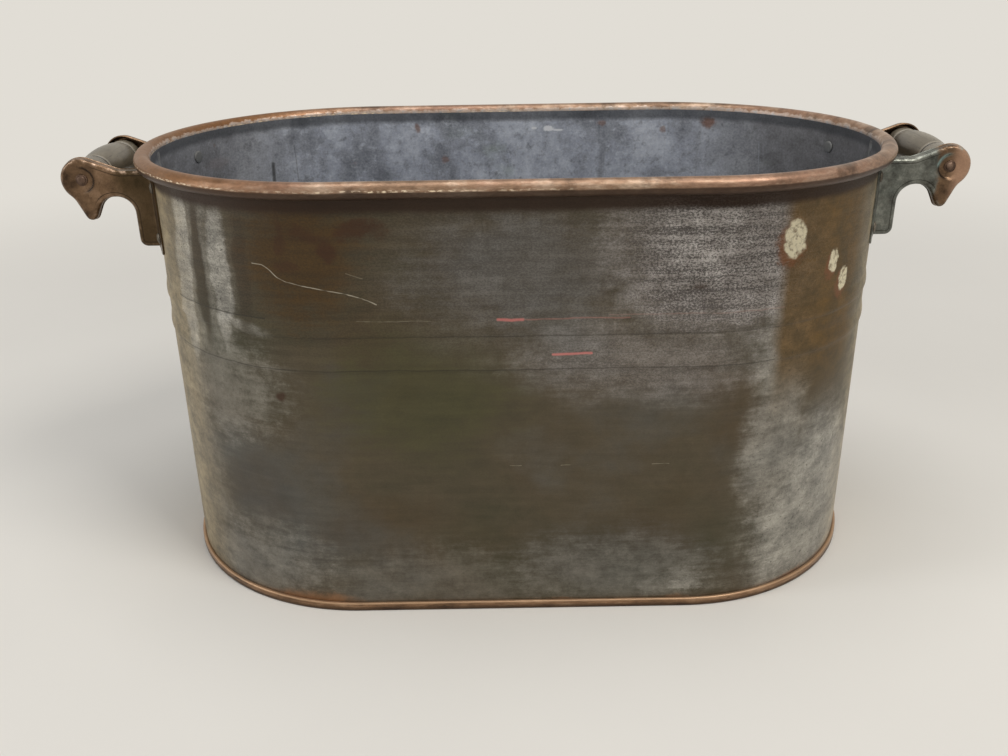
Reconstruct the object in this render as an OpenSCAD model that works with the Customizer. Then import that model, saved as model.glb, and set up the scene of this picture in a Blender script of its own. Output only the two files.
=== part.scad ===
// Oval washing tub of tinned copper sheet, with a rolled wire rim, a double-seamed bottom
// and a turned wooden grip between two stamped ears at each end.
// Millimetres. +X runs along the tub, +Y to the rear, +Z up.
// The origin is on the ground, under the middle of the tub.

/* [Body] */
// Length over the wall
body_l = 554; // [460:1:640]
// Width over the wall
body_w = 308; // [260:1:360]
// Height to the top of the rim
body_h = 330; // [290:1:400]
// Thickness of the copper sheet
sheet_t = 0.8; // [0.5:0.1:1.1]
// Height of the middle of the upper swaged bead
bead_z = 228; // [120:1:235]
// Distance from the upper bead down to the lower one
bead_pitch = 25.5; // [16:0.5:60]
// Height of one bead
bead_h = 12.5; // [9:0.5:15]
// How far a bead stands out of the wall
bead_rise = 1; // [0.6:0.1:2]

/* [Rim and seams] */
// Diameter of the wire inside the rolled rim
wire_d = 10; // [6:0.5:12]
// Solder film between layers of sheet
solder_gap = 0.1; // [0.06:0.01:0.16]
// Gap between the free edge of the rim curl and the wall
curl_lip_gap = 0.3; // [0.2:0.05:0.6]
// Height of the double seam at the foot
base_seam_h = 6.7; // [5.5:0.1:9]
// Width of the lock seam at each end
lock_w = 9; // [7:0.5:14]
// How far the lock seams lie in front of the middle
lock_shift = 6; // [0:0.5:15]
// Bare wall between a lock seam's end and the rim or the foot seam
lock_end_gap = 1.5; // [0.8:0.1:4]

/* [Ears] */
// Distance between the outer faces of an end's two ears
ear_span = 104; // [90:1:124]
// Thickness of the ear's metal
ear_t = 1.2; // [0.8:0.1:1.6]
// Depth of the ear's cup
ear_depth = 7; // [5:0.5:10]
// Diameter of the round head that holds the grip
head_d = 31; // [28:0.5:38]
// Gap from the top of an ear to the rim above it
ear_rim_gap = 1.1; // [0.5:0.1:3]
// Height of the arm between the wall and the head
arm_h = 19.4; // [16:0.2:24]
// Width of the foot under the arm
foot_w = 16.5; // [13:0.5:19]
// Height of the foot
foot_h = 57.4; // [46:0.2:70]
// Radius of the foot's lower corner
foot_corner_r = 5.5; // [2:0.5:6]
// Length of the slope from the arm's top up to the head, measured from the grip's axis
shoulder_l = 27; // [20:0.5:32]
// Radius of the notch under the arm and of the blends into the head
notch_r = 12; // [8:0.5:13]
// Depth of the beak's tip below the grip's axis
beak_l = 30.3; // [25:0.1:38]
// How far the beak leans towards the tub
beak_lean = 2.9; // [0:0.1:6]
// Diameter of the beak's tip
beak_tip_d = 9; // [6:0.5:12]
// Diameter of the beak's root
beak_root_d = 24; // [18:0.5:26]
// Depth of the beak root's middle below the grip's axis
beak_root_l = 8; // [5:0.5:11]
// Width of the flange that lies on the wall
flange_w = 15; // [12:0.5:20]
// How far the flange reaches below the foot
flange_drop = 3; // [0:0.5:8]

/* [Grips] */
// Distance from the end of the wall out to the grip's axis
grip_reach = 43.5; // [38:0.5:60]
// Distance from the top of the rim down to the grip's axis
grip_drop = 19.4; // [16:0.2:28]
// Diameter of the grip at its middle
grip_d = 29.2; // [24:0.2:34]
// How much thinner in radius the barrel is at its ends
grip_swell = 2; // [0.4:0.1:3]
// Diameter of the collar at each end of the grip
collar_d = 25; // [22:0.2:30]
// Length of the collar at the grip's front end
front_collar_l = 22; // [14:0.5:26]
// Length of the collar at the grip's rear end
rear_collar_l = 9.5; // [6:0.5:16]
// Width of the turned groove beside a collar
groove_w = 2; // [1:0.1:3]
// Depth of the turned groove
groove_depth = 0.9; // [0.4:0.1:1.5]
// Diameter of the rod through the grip
rod_d = 5; // [4:0.1:6.5]
// Ring width of the burr washer on the rod
burr_rim = 1.9; // [1.2:0.1:3]
// Thickness of the burr washer
burr_t = 0.9; // [0.5:0.1:1.2]
// How far the peened end overhangs the rod
peen_lip = 0.8; // [0.4:0.1:1.1]
// Height of the peened end
peen_h = 1.5; // [0.8:0.1:2.5]
// Depth of the dish that the washer sits in
dish_depth = 2; // [1:0.1:3]
// Room between the washer and the slope of the dish
dish_room = 1.4; // [0.6:0.1:2.5]
// Width of the dish's slope
dish_slope = 3.2; // [2:0.1:4]

/* [Rivets] */
// Diameter of a rivet's shank
rivet_d = 4.5; // [3:0.1:6]
// Diameter of the flat head inside the tub
rivet_head_d = 10; // [8:0.2:12]
// Thickness of the flat head
rivet_head_t = 1; // [0.6:0.1:2]
// Diameter of the upset end outside
upset_d = 8; // [6.5:0.1:10]
// Height of the upset end
upset_h = 1.8; // [1:0.1:3]
// Distance from the ear's face to its rivets
rivet_inset = 6.5; // [5:0.1:9]
// Distance from the flange's ends to its rivets
rivet_edge = 11.5; // [7:0.5:18]

/* [Fits] */
// Radial clearance of a grip on its rod
spin_gap = 0.08; // [0.02:0.01:0.1]
// Radial clearance of rods and rivets in their holes
hole_gap = 0.05; // [0.02:0.01:0.1]
// End play between a grip and an ear
end_gap = 0.4; // [0.3:0.05:1]
// Radial room between a grip's end and the ear's cup
cup_gap = 2.4; // [0.4:0.1:3]

/* [Hidden] */
$fa = 2;
$fs = 0.5;

LEFT = -1;
RIGHT = 1;
FRONT = -1;
REAR = 1;

TINNED = [0.37, 0.35, 0.31];
COPPER = [0.56, 0.39, 0.27];
STEEL = [0.45, 0.45, 0.46];
DARK_COPPER = [0.38, 0.28, 0.20];
WOOD = [0.36, 0.32, 0.28];

// Plan of the wall: two round ends joined by straight runs
wall_r = body_w / 2;
wall_in_r = wall_r - sheet_t;
half_run = (body_l - body_w) / 2;

// One layer of sheet and its solder film, for folded seams outside the wall
layer = sheet_t + solder_gap;

// Rolled rim: inside flush with the wall
curl_in_r = wire_d / 2 + solder_gap;
curl_out_r = curl_in_r + sheet_t;
rim_r = wall_in_r + curl_out_r;
rim_z = body_h - curl_out_r;
rim_low_z = rim_z - curl_out_r;
curl_open_a = acos((curl_in_r - curl_lip_gap) / curl_out_r);

// Lock seam at each end
lock_a = asin(lock_shift / wall_r);
lock_low_z = base_seam_h + lock_end_gap;
lock_high_z = rim_low_z - lock_end_gap;
lock_half = lock_w / 2;
lock_join = lock_half + 2 * layer;
lock_lap = 2 * sheet_t;
lock_join_a = asin(lock_join / wall_r);
butt_a = asin(solder_gap / 2 / wall_r);

// Swaged bead: an arc of the sheet
bead_r = (pow(bead_h / 2, 2) + pow(bead_rise, 2)) / (2 * bead_rise);
bead_x = wall_r + bead_rise - bead_r;

// Grip axis
grip_x = body_l / 2 + grip_reach;
grip_z = body_h - grip_drop;

// Ear outline, measured from the grip's axis: x away from the tub, y up
ear_y = ear_span / 2;
ear_seat_r = wall_r + solder_gap;
head_r = head_d / 2;
ear_wall_x = half_run + sqrt(pow(wall_r, 2) - pow(ear_y, 2)) - grip_x;
ear_root_x = ear_wall_x - foot_w;
ear_top = rim_low_z - ear_rim_gap - grip_z;
foot_x = ear_wall_x + foot_w;
foot_low = ear_top - foot_h;
flange_low = foot_low - flange_drop;
flange_in_a = asin((ear_y - ear_t) / (ear_seat_r + ear_t));
flange_out_a = asin((ear_y + flange_w) / ear_seat_r);
outline_fn = 40;

// Dish in the head, and the washer and peened rod end in it
burr_r = rod_d / 2 + burr_rim;
dish_floor_r = burr_r + dish_room;
dish_r = dish_floor_r + dish_slope;
dish_y = ear_y - dish_depth;
peen_y = dish_y + burr_t;

// Grip along its axis
grip_half = dish_y - ear_t - end_gap;
collar_out_y = ear_y - ear_depth - end_gap;
barrel_ends = [for (l = [front_collar_l, rear_collar_l]) collar_out_y - l - groove_w];
barrel_half = (barrel_ends[0] + barrel_ends[1]) / 2;
barrel_middle = (barrel_ends[0] - barrel_ends[1]) / 2;
journal_r = head_r - ear_t - cup_gap;
barrel_end_r = grip_d / 2 - grip_swell;
barrel_steps = 12;
groove_r = min(collar_d / 2, barrel_end_r) - groove_depth;

// Rivets: angle round the end, heights and seats along their own axes
rivet_a = asin((ear_y + rivet_inset) / wall_r);
rivet_zs = [grip_z + ear_top - rivet_edge, grip_z + flange_low + rivet_edge];
rivet_seat = sqrt(pow(wall_in_r, 2) - pow(rivet_head_d / 2, 2)) - solder_gap;
upset_seat = ear_seat_r + ear_t + solder_gap;

// A profile, x out from the tub's middle plane and y up, turned about the right end's axis
module end_arc(from_a, to_a) {
    translate([half_run, 0, 0])
        rotate([0, 0, from_a])
            rotate_extrude(angle = to_a - from_a) children();
}

// A profile carried along the straight run of one side
module side_run(face) {
    translate([-face * half_run, 0, 0])
        rotate([90, 0, face * 90])
            linear_extrude(2 * half_run) children();
}

// The same thing at both ends
module both_ends() {
    children();
    mirror([1, 0, 0]) children();
}

// A profile carried round the whole tub
module full_track() {
    both_ends() end_arc(-90, 90) children();
    side_run(FRONT) children();
    side_run(REAR) children();
}

// A profile carried round one half, as far as an angle short of the lock seams
module half_track(face, short_a) {
    mirror([0, face == REAR ? 1 : 0, 0]) {
        both_ends() end_arc(-90, face * lock_a - short_a) children();
        side_run(FRONT) children();
    }
}

// A rectangle from its corners
module slab(low, high) {
    translate(low) square(high - low);
}

// Foot of a body sheet: the wall turned out and up into the double seam
module foot_profile() {
    upright_x = wall_r + 2 * solder_gap + sheet_t;
    slab([wall_in_r, layer], [wall_r, lock_low_z]);
    slab([wall_in_r, layer], [upright_x + sheet_t, layer + sheet_t]);
    slab([upright_x, layer], [upright_x + sheet_t, base_seam_h - layer]);
}

// Plain wall with its two beads
module wall_profile() {
    bead_zs = [bead_z, bead_z - bead_pitch];
    difference() {
        union() {
            slab([wall_in_r, lock_low_z], [wall_r, lock_high_z]);
            for (z = bead_zs) {
                intersection() {
                    translate([bead_x, z]) circle(bead_r);
                    slab([wall_in_r, z - bead_h], [wall_r + bead_h, z + bead_h]);
                }
            }
        }
        for (z = bead_zs) {
            translate([bead_x, z]) circle(bead_r - sheet_t);
        }
    }
}

// Top of a body sheet: the wall rolled outwards over the wire
module rim_profile() {
    slab([wall_in_r, lock_high_z], [wall_r, rim_z]);
    translate([rim_r, rim_z]) difference() {
        circle(curl_out_r);
        circle(curl_in_r);
        polygon([[0, 0], [-2 * curl_out_r, 0], -2 * curl_out_r * [1, tan(curl_open_a)]]);
    }
}

// Plan of the rear sheet's hook, x out from the end's axis and y along the wall to the rear
module rear_hook() {
    hook_x = wall_r + 2 * solder_gap + sheet_t;
    slab([wall_in_r, -lock_half], [wall_r, lock_join + lock_lap]);
    slab([wall_in_r, -lock_half], [hook_x + sheet_t, -lock_half + sheet_t]);
    slab([hook_x, -lock_half], [hook_x + sheet_t, lock_half - layer]);
}

// Plan of the front sheet's hook, which closes over the rear one
module front_hook() {
    top_x = wall_r + 3 * solder_gap + 2 * sheet_t;
    rise_y = -lock_half - layer;
    slab([wall_in_r, -lock_join - lock_lap], [wall_r, rise_y + sheet_t]);
    slab([wall_in_r, rise_y], [top_x + sheet_t, rise_y + sheet_t]);
    slab([top_x, rise_y], [top_x + sheet_t, lock_half]);
    slab([wall_r + solder_gap, lock_half - sheet_t], [top_x + sheet_t, lock_half]);
    slab([wall_r + solder_gap, -lock_half + layer], [wall_r + layer, lock_half]);
}

// A hook's plan carried up both end seams
module lock_hooks() {
    both_ends()
        translate([half_run, 0, lock_low_z + solder_gap])
            rotate([0, 0, -lock_a])
                linear_extrude(lock_high_z - lock_low_z - 2 * solder_gap) children();
}

// Something along a rivet's axis, at each rivet of the right front ear
module at_rivets() {
    for (z = rivet_zs) {
        translate([half_run, 0, z])
            rotate([0, 0, -rivet_a])
                rotate([0, 90, 0]) children();
    }
}

// Carries the right front corner's shape to any of the four corners
module corner(side, face) {
    mirror([side == LEFT ? 1 : 0, 0, 0])
        mirror([0, face == REAR ? 1 : 0, 0])
            children();
}

// Rivet holes through the wall and an ear's flange
module rivet_holes() {
    at_rivets()
        translate([0, 0, rivet_seat])
            cylinder(h = upset_seat + upset_h - rivet_seat, r = rivet_d / 2 + hole_gap);
}

module body_sheet(face) {
    color(TINNED) difference() {
        union() {
            half_track(face, butt_a) foot_profile();
            half_track(face, lock_join_a) wall_profile();
            half_track(face, butt_a) rim_profile();
            lock_hooks()
                if (face == FRONT) {
                    front_hook();
                } else {
                    rear_hook();
                }
        }
        for (side = [LEFT, RIGHT]) {
            corner(side, face) rivet_holes();
        }
    }
}

// Floor with its hem folded over the foot of the body
module bottom_pan() {
    hem_x = wall_r + solder_gap;
    out_x = wall_r + 3 * layer;
    color(COPPER) full_track() {
        slab([0, 0], [out_x, sheet_t]);
        slab([out_x - sheet_t, 0], [out_x, base_seam_h]);
        slab([hem_x, base_seam_h - sheet_t], [out_x, base_seam_h]);
        slab([hem_x, 2 * layer], [hem_x + sheet_t, base_seam_h]);
    }
}

module rim_wire() {
    color(STEEL) full_track() translate([rim_r, rim_z]) circle(wire_d / 2);
}

// Face of an ear: head with its shoulder, arm, foot and beak, with the notch left between foot and beak
module ear_outline() {
    offset(r = -notch_r, $fn = outline_fn) offset(r = notch_r, $fn = outline_fn) {
        hull() {
            circle(head_r, $fn = outline_fn);
            slab([-shoulder_l, ear_top - ear_t], [0, ear_top]);
        }
        slab([ear_root_x, ear_top - arm_h], [0, ear_top]);
        offset(r = foot_corner_r, $fn = outline_fn) offset(delta = -foot_corner_r)
            slab([ear_root_x, foot_low], [foot_x, ear_top]);
        hull() {
            translate([-beak_lean, -beak_root_l]) circle(beak_root_d / 2, $fn = outline_fn);
            translate([-beak_lean, beak_tip_d / 2 - beak_l]) circle(beak_tip_d / 2, $fn = outline_fn);
        }
    }
}

// Something on the grip's axis at the right front ear's face, with z running in towards the grip
module at_head(in = 0) {
    translate([grip_x, in - ear_y, grip_z]) rotate([-90, 0, 0]) children();
}

// Pressed cup, open towards the grip and cut to the wall
module ear_cup() {
    difference() {
        translate([grip_x, ear_depth - ear_y, grip_z]) rotate([90, 0, 0]) difference() {
            linear_extrude(ear_depth) ear_outline();
            translate([0, 0, -ear_t]) linear_extrude(ear_depth) offset(delta = -ear_t) ear_outline();
        }
        translate([half_run, 0, 0]) cylinder(h = body_h, r = ear_seat_r);
    }
}

module ear(side, face) {
    color(DARK_COPPER) corner(side, face) difference() {
        union() {
            ear_cup();
            at_head() cylinder(h = dish_depth + ear_t, r1 = dish_r + ear_t, r2 = dish_floor_r + ear_t);
            end_arc(-flange_out_a, -flange_in_a)
                slab([ear_seat_r, grip_z + flange_low], [ear_seat_r + ear_t, grip_z + ear_top]);
        }
        at_head() cylinder(h = dish_depth, r1 = dish_r, r2 = dish_floor_r);
        at_head() cylinder(h = ear_depth, r = rod_d / 2 + hole_gap);
        rivet_holes();
    }
}

// Flat head inside, shank through wall and flange, upset end outside
module ear_rivets(side, face) {
    shank_r = rivet_d / 2;
    head_low = rivet_seat - rivet_head_t;
    upset_top = upset_seat + upset_h;
    color(DARK_COPPER) corner(side, face) at_rivets() rotate_extrude() {
        slab([0, head_low], [rivet_head_d / 2, rivet_seat]);
        slab([0, head_low], [shank_r, upset_top]);
        polygon([[0, upset_seat], [upset_d / 2, upset_seat], [shank_r, upset_top], [0, upset_top]]);
    }
}

// Rod along the grip, peened over a washer at each end
module grip_rod(side) {
    color(STEEL) for (face = [FRONT, REAR]) {
        corner(side, face) {
            at_head(dish_depth - burr_t) cylinder(h = peen_y, d = rod_d);
            at_head(dish_depth - burr_t - peen_h)
                cylinder(h = peen_h, d1 = rod_d, d2 = rod_d + 2 * peen_lip);
        }
    }
}

module rod_burrs(side) {
    color(STEEL) for (face = [FRONT, REAR]) {
        corner(side, face) at_head(dish_depth - burr_t) rotate_extrude()
            slab([rod_d / 2 + hole_gap, 0], [burr_r, burr_t]);
    }
}

// Turned grip: swelled barrel, a groove and a collar at each end, and ends that sit in the cups
module grip(side) {
    barrel = [for (i = [-barrel_steps : barrel_steps])
        let (y = barrel_half * i / barrel_steps)
            [grip_d / 2 - grip_swell * pow(y / barrel_half, 2), barrel_middle + y]];
    color(WOOD) translate([side * grip_x, 0, grip_z]) rotate([90, 0, 0]) difference() {
        rotate_extrude() {
            polygon(concat([[0, -barrel_ends[1]]], barrel, [[0, barrel_ends[0]]]));
            for (flip = [0, 1]) {
                mirror([0, flip]) {
                    slab([0, barrel_ends[flip]], [groove_r, barrel_ends[flip] + groove_w]);
                    slab([0, barrel_ends[flip] + groove_w], [collar_d / 2, collar_out_y]);
                    slab([0, collar_out_y], [journal_r, grip_half]);
                }
            }
        }
        cylinder(h = 2 * (grip_half + end_gap), r = rod_d / 2 + spin_gap, center = true);
    }
}

body_sheet(FRONT);  // front_sheet
body_sheet(REAR);  // rear_sheet
bottom_pan();
rim_wire();
ear(LEFT, FRONT);  // left_front_ear
ear(LEFT, REAR);  // left_rear_ear
ear(RIGHT, FRONT);  // right_front_ear
ear(RIGHT, REAR);  // right_rear_ear
ear_rivets(LEFT, FRONT);  // left_front_rivets
ear_rivets(LEFT, REAR);  // left_rear_rivets
ear_rivets(RIGHT, FRONT);  // right_front_rivets
ear_rivets(RIGHT, REAR);  // right_rear_rivets
grip_rod(LEFT);  // left_grip_rod
grip_rod(RIGHT);  // right_grip_rod
rod_burrs(LEFT);  // left_rod_burrs
rod_burrs(RIGHT);  // right_rod_burrs
grip(LEFT);  // left_grip
grip(RIGHT);  // right_grip
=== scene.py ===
"""Looks of an oval washing tub: tinned copper sheet, riveted stamped ears and turned wooden grips.

Sizes in the classes are in millimetres, in the frame's own axes: X along the tub's length, Y to
the rear and Z up, from the middle of the bottom. Meshes are in metres.
"""

from __future__ import annotations

import logging
import math
from dataclasses import dataclass, field
from enum import Enum
from itertools import product
from typing import Any, Mapping, Sequence

import bmesh
import bpy
import numpy as np
from mathutils import Matrix, Vector
from mathutils.geometry import delaunay_2d_cdt

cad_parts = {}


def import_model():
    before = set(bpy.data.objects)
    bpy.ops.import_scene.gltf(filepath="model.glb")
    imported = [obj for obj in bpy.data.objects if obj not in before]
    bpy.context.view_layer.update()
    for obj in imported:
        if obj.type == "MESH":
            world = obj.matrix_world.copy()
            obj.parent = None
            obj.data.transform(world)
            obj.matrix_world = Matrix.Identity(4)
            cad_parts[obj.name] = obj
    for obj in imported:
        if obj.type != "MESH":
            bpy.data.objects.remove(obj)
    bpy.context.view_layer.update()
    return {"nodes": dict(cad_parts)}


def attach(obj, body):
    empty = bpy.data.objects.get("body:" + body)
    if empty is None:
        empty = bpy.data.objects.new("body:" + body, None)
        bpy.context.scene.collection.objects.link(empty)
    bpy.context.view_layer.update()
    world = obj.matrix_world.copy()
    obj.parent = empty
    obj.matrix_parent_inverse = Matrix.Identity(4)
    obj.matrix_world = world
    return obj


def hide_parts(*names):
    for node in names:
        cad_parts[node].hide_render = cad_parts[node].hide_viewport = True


LOG = logging.getLogger("washing_tub")
MM = 0.001

Colour = tuple[float, float, float, float]
Point2 = tuple[float, float]
Point3 = tuple[float, float, float]
Socket = bpy.types.NodeSocket
Piece = bpy.types.Object
Material = bpy.types.Material


class Side(Enum):
    """End of the tub."""

    LEFT = -1
    RIGHT = 1


class Face(Enum):
    """Long side of the tub."""

    FRONT = -1
    REAR = 1


def tone(red: int, green: int, blue: int) -> Colour:
    """Linear colour of a tone that is written as it shows, 0 to 255.

    Args:
        red: Red part.
        green: Green part.
        blue: Blue part.

    Returns:
        The colour for a socket, with full alpha.
    """

    def linear(part: int) -> float:
        """One part of the tone, made linear."""
        share = part / 255
        return share / 12.92 if share <= 0.04045 else ((share + 0.055) / 1.055) ** 2.4

    return linear(red), linear(green), linear(blue), 1.0


class NodeBook:
    """Adds nodes to a tree and wires them."""

    def __init__(self, tree: bpy.types.NodeTree) -> None:
        """Takes the tree that the nodes go into."""
        self.tree = tree

    def add(self, kind: str, inputs: Mapping[str | int, Any] | None = None,
            **settings: Any) -> bpy.types.Node:
        """Adds one node.

        Args:
            kind: Blender's name of the node type.
            inputs: Sockets to link, or plain values to set, by input name or number.
            **settings: Properties of the node.

        Returns:
            The new node.
        """
        node = self.tree.nodes.new(kind)
        for name, value in settings.items():
            setattr(node, name, value)
        for key, value in (inputs or {}).items():
            if isinstance(value, Socket):
                self.tree.links.new(value, node.inputs[key])
            else:
                node.inputs[key].default_value = value
        return node

    def vector(self, operation: str, first: Any, second: Any = None) -> Socket:
        """A sum of vectors.

        Args:
            operation: Blender's name of the sum.
            first: First vector.
            second: Second vector, where the sum has one.

        Returns:
            A number for a length or a dot product, or else a vector.
        """
        inputs = {0: first} if second is None else {0: first, 1: second}
        node = self.add("ShaderNodeVectorMath", inputs, operation=operation)
        return node.outputs["Value" if operation in ("LENGTH", "DOT_PRODUCT") else "Vector"]

    def math(self, operation: str, *parts: Any, clamp: bool = False) -> Socket:
        """A sum of one, two or three numbers."""
        inputs = dict(enumerate(parts))
        return self.add("ShaderNodeMath", inputs, operation=operation, use_clamp=clamp).outputs[0]

    def times(self, first: Any, second: Any) -> Socket:
        """A product of two numbers."""
        return self.math("MULTIPLY", first, second)

    def scaled(self, where: Any, share: Any) -> Socket:
        """A vector times a number."""
        return self.add("ShaderNodeVectorMath", {0: where, "Scale": share}, operation="SCALE").outputs[0]

    def part(self, where: Any, axis: str) -> Socket:
        """One part of a vector."""
        return self.add("ShaderNodeSeparateXYZ", {0: where}).outputs[axis]

    def band(self, value: Any, start: Any, end: Any, low: float = 0.0, high: float = 1.0) -> Socket:
        """A smooth step of a number from one value to another.

        Args:
            value: Number to map.
            start: Where the step starts.
            end: Where the step ends.
            low: Result at the start.
            high: Result at the end.

        Returns:
            The mapped number.
        """
        inputs = {"Value": value, "From Min": start, "From Max": end, "To Min": low, "To Max": high}
        return self.add("ShaderNodeMapRange", inputs, interpolation_type="SMOOTHSTEP").outputs["Result"]


class ShadeBook(NodeBook):
    """Node book of a material, with the sums that the finishes share."""

    def __init__(self, name: str) -> None:
        """Makes an empty material.

        Args:
            name: Name of the material.
        """
        self.material = bpy.data.materials.new(name)
        self.material.use_nodes = True
        super().__init__(self.material.node_tree)
        self.tree.nodes.clear()

    def place(self) -> Socket:
        """Object coordinates, in metres."""
        return self.add("ShaderNodeTexCoord").outputs["Object"]

    def unrolled(self) -> Socket:
        """The piece's UV map: metres round the wall from the front's middle, and metres up."""
        return self.add("ShaderNodeUVMap", uv_map="UVMap").outputs["UV"]

    def attribute(self, name: str) -> Socket:
        """A number that the mesh carries at its points."""
        return self.add("ShaderNodeAttribute", attribute_name=name).outputs["Fac"]

    def stretch(self, where: Any, scale: Sequence[float], shift: Sequence[float] = (0, 0, 0)) -> Socket:
        """Coordinates drawn out along their axes and shifted."""
        return self.add("ShaderNodeMapping", {"Vector": where, "Scale": scale, "Location": shift}).outputs[0]

    def noise(self, where: Any, scale: float, detail: float = 3.0, rough: float = 0.55,
              twist: float = 0.0) -> Socket:
        """Cloudy noise between 0 and 1."""
        inputs = {"Vector": where, "Scale": scale, "Detail": detail, "Roughness": rough, "Distortion": twist}
        return self.add("ShaderNodeTexNoise", inputs).outputs[0]

    def wobble(self, where: Any, scale: float, reach: float, detail: float = 3.0) -> Socket:
        """Coordinates pushed about by noise, for ragged borders.

        Args:
            where: Coordinates, in metres.
            scale: Scale of the noise.
            reach: Greatest push, in metres.
            detail: Detail of the noise.

        Returns:
            The new coordinates.
        """
        node = self.add("ShaderNodeTexNoise", {"Vector": where, "Scale": scale, "Detail": detail})
        push = self.vector("SUBTRACT", node.outputs[1], (0.5, 0.5, 0.5))
        return self.vector("ADD", where, self.scaled(push, 2 * reach))

    def ramp(self, value: Any, *stops: tuple[float, Colour]) -> Socket:
        """A colour that follows a number.

        Args:
            value: Number from 0 to 1.
            *stops: Numbers and their colours, in order.

        Returns:
            The colour.
        """
        node = self.add("ShaderNodeValToRGB", {"Fac": value})
        marks = node.color_ramp.elements
        while len(marks) < len(stops):
            marks.new(1.0)
        for mark, (where, colour) in zip(marks, stops):
            mark.position = where
            mark.color = colour
        return node.outputs["Color"]

    def mix(self, amount: Any, under: Any, over: Any, blend: str = "MIX") -> Socket:
        """One colour laid over another."""
        inputs = {0: amount, 6: under, 7: over}
        return self.add("ShaderNodeMix", inputs, data_type="RGBA", blend_type=blend).outputs[2]

    def grained(self, colour: Any, amount: float, grain: Any, dark: int, light: int,
                low: float = 0.3, high: float = 0.7) -> Socket:
        """A colour with a grain of dark and light greys over it.

        Args:
            colour: Colour to go on from.
            amount: Share of the grain.
            grain: Noise that the grain follows.
            dark: Dark grey, 0 to 255.
            light: Light grey, 0 to 255.
            low: Noise that is dark.
            high: Noise that is light.

        Returns:
            The new colour.
        """
        greys = self.ramp(grain, (low, tone(dark, dark, dark)), (high, tone(light, light, light)))
        return self.mix(amount, colour, greys, "OVERLAY")

    def blend(self, amount: Any, first: Any, second: Any) -> Socket:
        """A number between two numbers."""
        return self.add("ShaderNodeMix", {0: amount, 2: first, 3: second}, data_type="FLOAT").outputs[0]

    def bump(self, height: Any, depth: float, strength: Any, under: Any = None) -> Socket:
        """Normals tilted by a height.

        Args:
            height: Number from 0 to 1.
            depth: Height that 1 stands for, in millimetres.
            strength: Share of the effect.
            under: Normals to go on from.

        Returns:
            The tilted normals.
        """
        inputs = {"Height": height, "Distance": depth * MM, "Strength": strength}
        if under is not None:
            inputs["Normal"] = under
        return self.add("ShaderNodeBump", inputs).outputs[0]

    def close(self, colour: Any, rough: Any, metal: Any, normal: Any) -> Material:
        """Ends the material in one surface shader.

        Args:
            colour: Its colour.
            rough: Its roughness.
            metal: How far it is metal.
            normal: Its normals.

        Returns:
            The finished material.
        """
        inputs = {"Base Color": colour, "Roughness": rough, "Metallic": metal, "Normal": normal}
        shader = self.add("ShaderNodeBsdfPrincipled", inputs)
        self.add("ShaderNodeOutputMaterial", {"Surface": shader.outputs[0]})
        return self.material


@dataclass(frozen=True)
class Patch:
    """Soft patch on the unrolled wall; wisp is how far noise frays it."""

    run: float
    height: float
    reach_run: float
    reach_height: float
    strength: float = 1.0
    wisp: float = 0.8
    core: float = 0.0

    def cover(self, book: ShadeBook, where: Any, drift: Any) -> Socket:
        """How far the patch covers each point.

        Args:
            book: Material being made.
            where: Coordinates on the unrolled wall, in metres.
            drift: Noise about 0 that frays the patch.

        Returns:
            A number from 0 to the patch's strength.
        """
        away = book.vector("SUBTRACT", where, (self.run * MM, self.height * MM, 0))
        share = book.vector("MULTIPLY", away, (1 / (self.reach_run * MM), 1 / (self.reach_height * MM), 0))
        near = book.band(book.vector("LENGTH", share), 1.0, self.core, 0.0, 1.15)
        frayed = book.math("MULTIPLY_ADD", book.band(near, 0.0, 0.4, 0.0, 4 * self.wisp), drift, near)
        return book.band(frayed, 0.02, 1.0, 0.0, self.strength)


@dataclass(frozen=True)
class MarkLine:
    """Line through some points of the unrolled wall, for scratches, chips and painted shade along the beads'
    creases.
    """

    points: tuple[Point2, ...]
    shade: Colour
    width: float = 0.7
    strength: float = 0.8

    def mark(self, book: ShadeBook, where: Any) -> Socket:
        """How far the line marks each point.

        Args:
            book: Material being made.
            where: Coordinates on the unrolled wall, in metres.

        Returns:
            A number from 0 to the line's strength.
        """
        off = None
        for first, second in zip(self.points, self.points[1:]):
            start = Vector((*first, 0)) * MM
            way = Vector((*second, 0)) * MM - start
            away = book.vector("SUBTRACT", where, start[:])
            dot = book.vector("DOT_PRODUCT", away, way[:])
            along = book.math("MULTIPLY", dot, 1 / way.length_squared, clamp=True)
            gap = book.vector("LENGTH", book.vector("SUBTRACT", away, book.scaled(way[:], along)))
            off = gap if off is None else book.math("MINIMUM", off, gap)
        return book.band(off, self.width * MM, 0.2 * self.width * MM, 0.0, self.strength)


def patches(*rows: tuple[float, ...]) -> tuple[Patch, ...]:
    """Patches, from the numbers of each."""
    return tuple(Patch(*row) for row in rows)


def covered(book: ShadeBook, spots: Sequence[Patch], where: Any, fray: Any) -> Socket:
    """How far the nearest of several patches covers each point.

    Args:
        book: Material being made.
        spots: Patches to look at.
        where: Coordinates on the unrolled wall, in metres.
        fray: Noise that frays the patches.

    Returns:
        A number from 0 to 1.
    """
    drift = book.math("SUBTRACT", fray, 0.5)
    result = spots[0].cover(book, where, drift)
    for patch in spots[1:]:
        result = book.math("MAXIMUM", result, patch.cover(book, where, drift))
    return result


@dataclass(frozen=True)
class WallMarks:
    """What has marked one half of the wall, and where on the unrolled wall; some patches and lines also paint
    reflections, sheen and shade in the beads' creases.
    """

    name: str
    tinned: tuple[Patch, ...]
    mossy: tuple[Patch, ...]
    slaty: tuple[Patch, ...]
    amber: tuple[Patch, ...]
    bare: tuple[Patch, ...]
    pitting: tuple[Patch, ...]
    rusty: tuple[Patch, ...]
    stains: tuple[Patch, ...]
    scratches_and_crease_shade: tuple[MarkLine, ...]
    crusts: tuple[Patch, ...]


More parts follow.
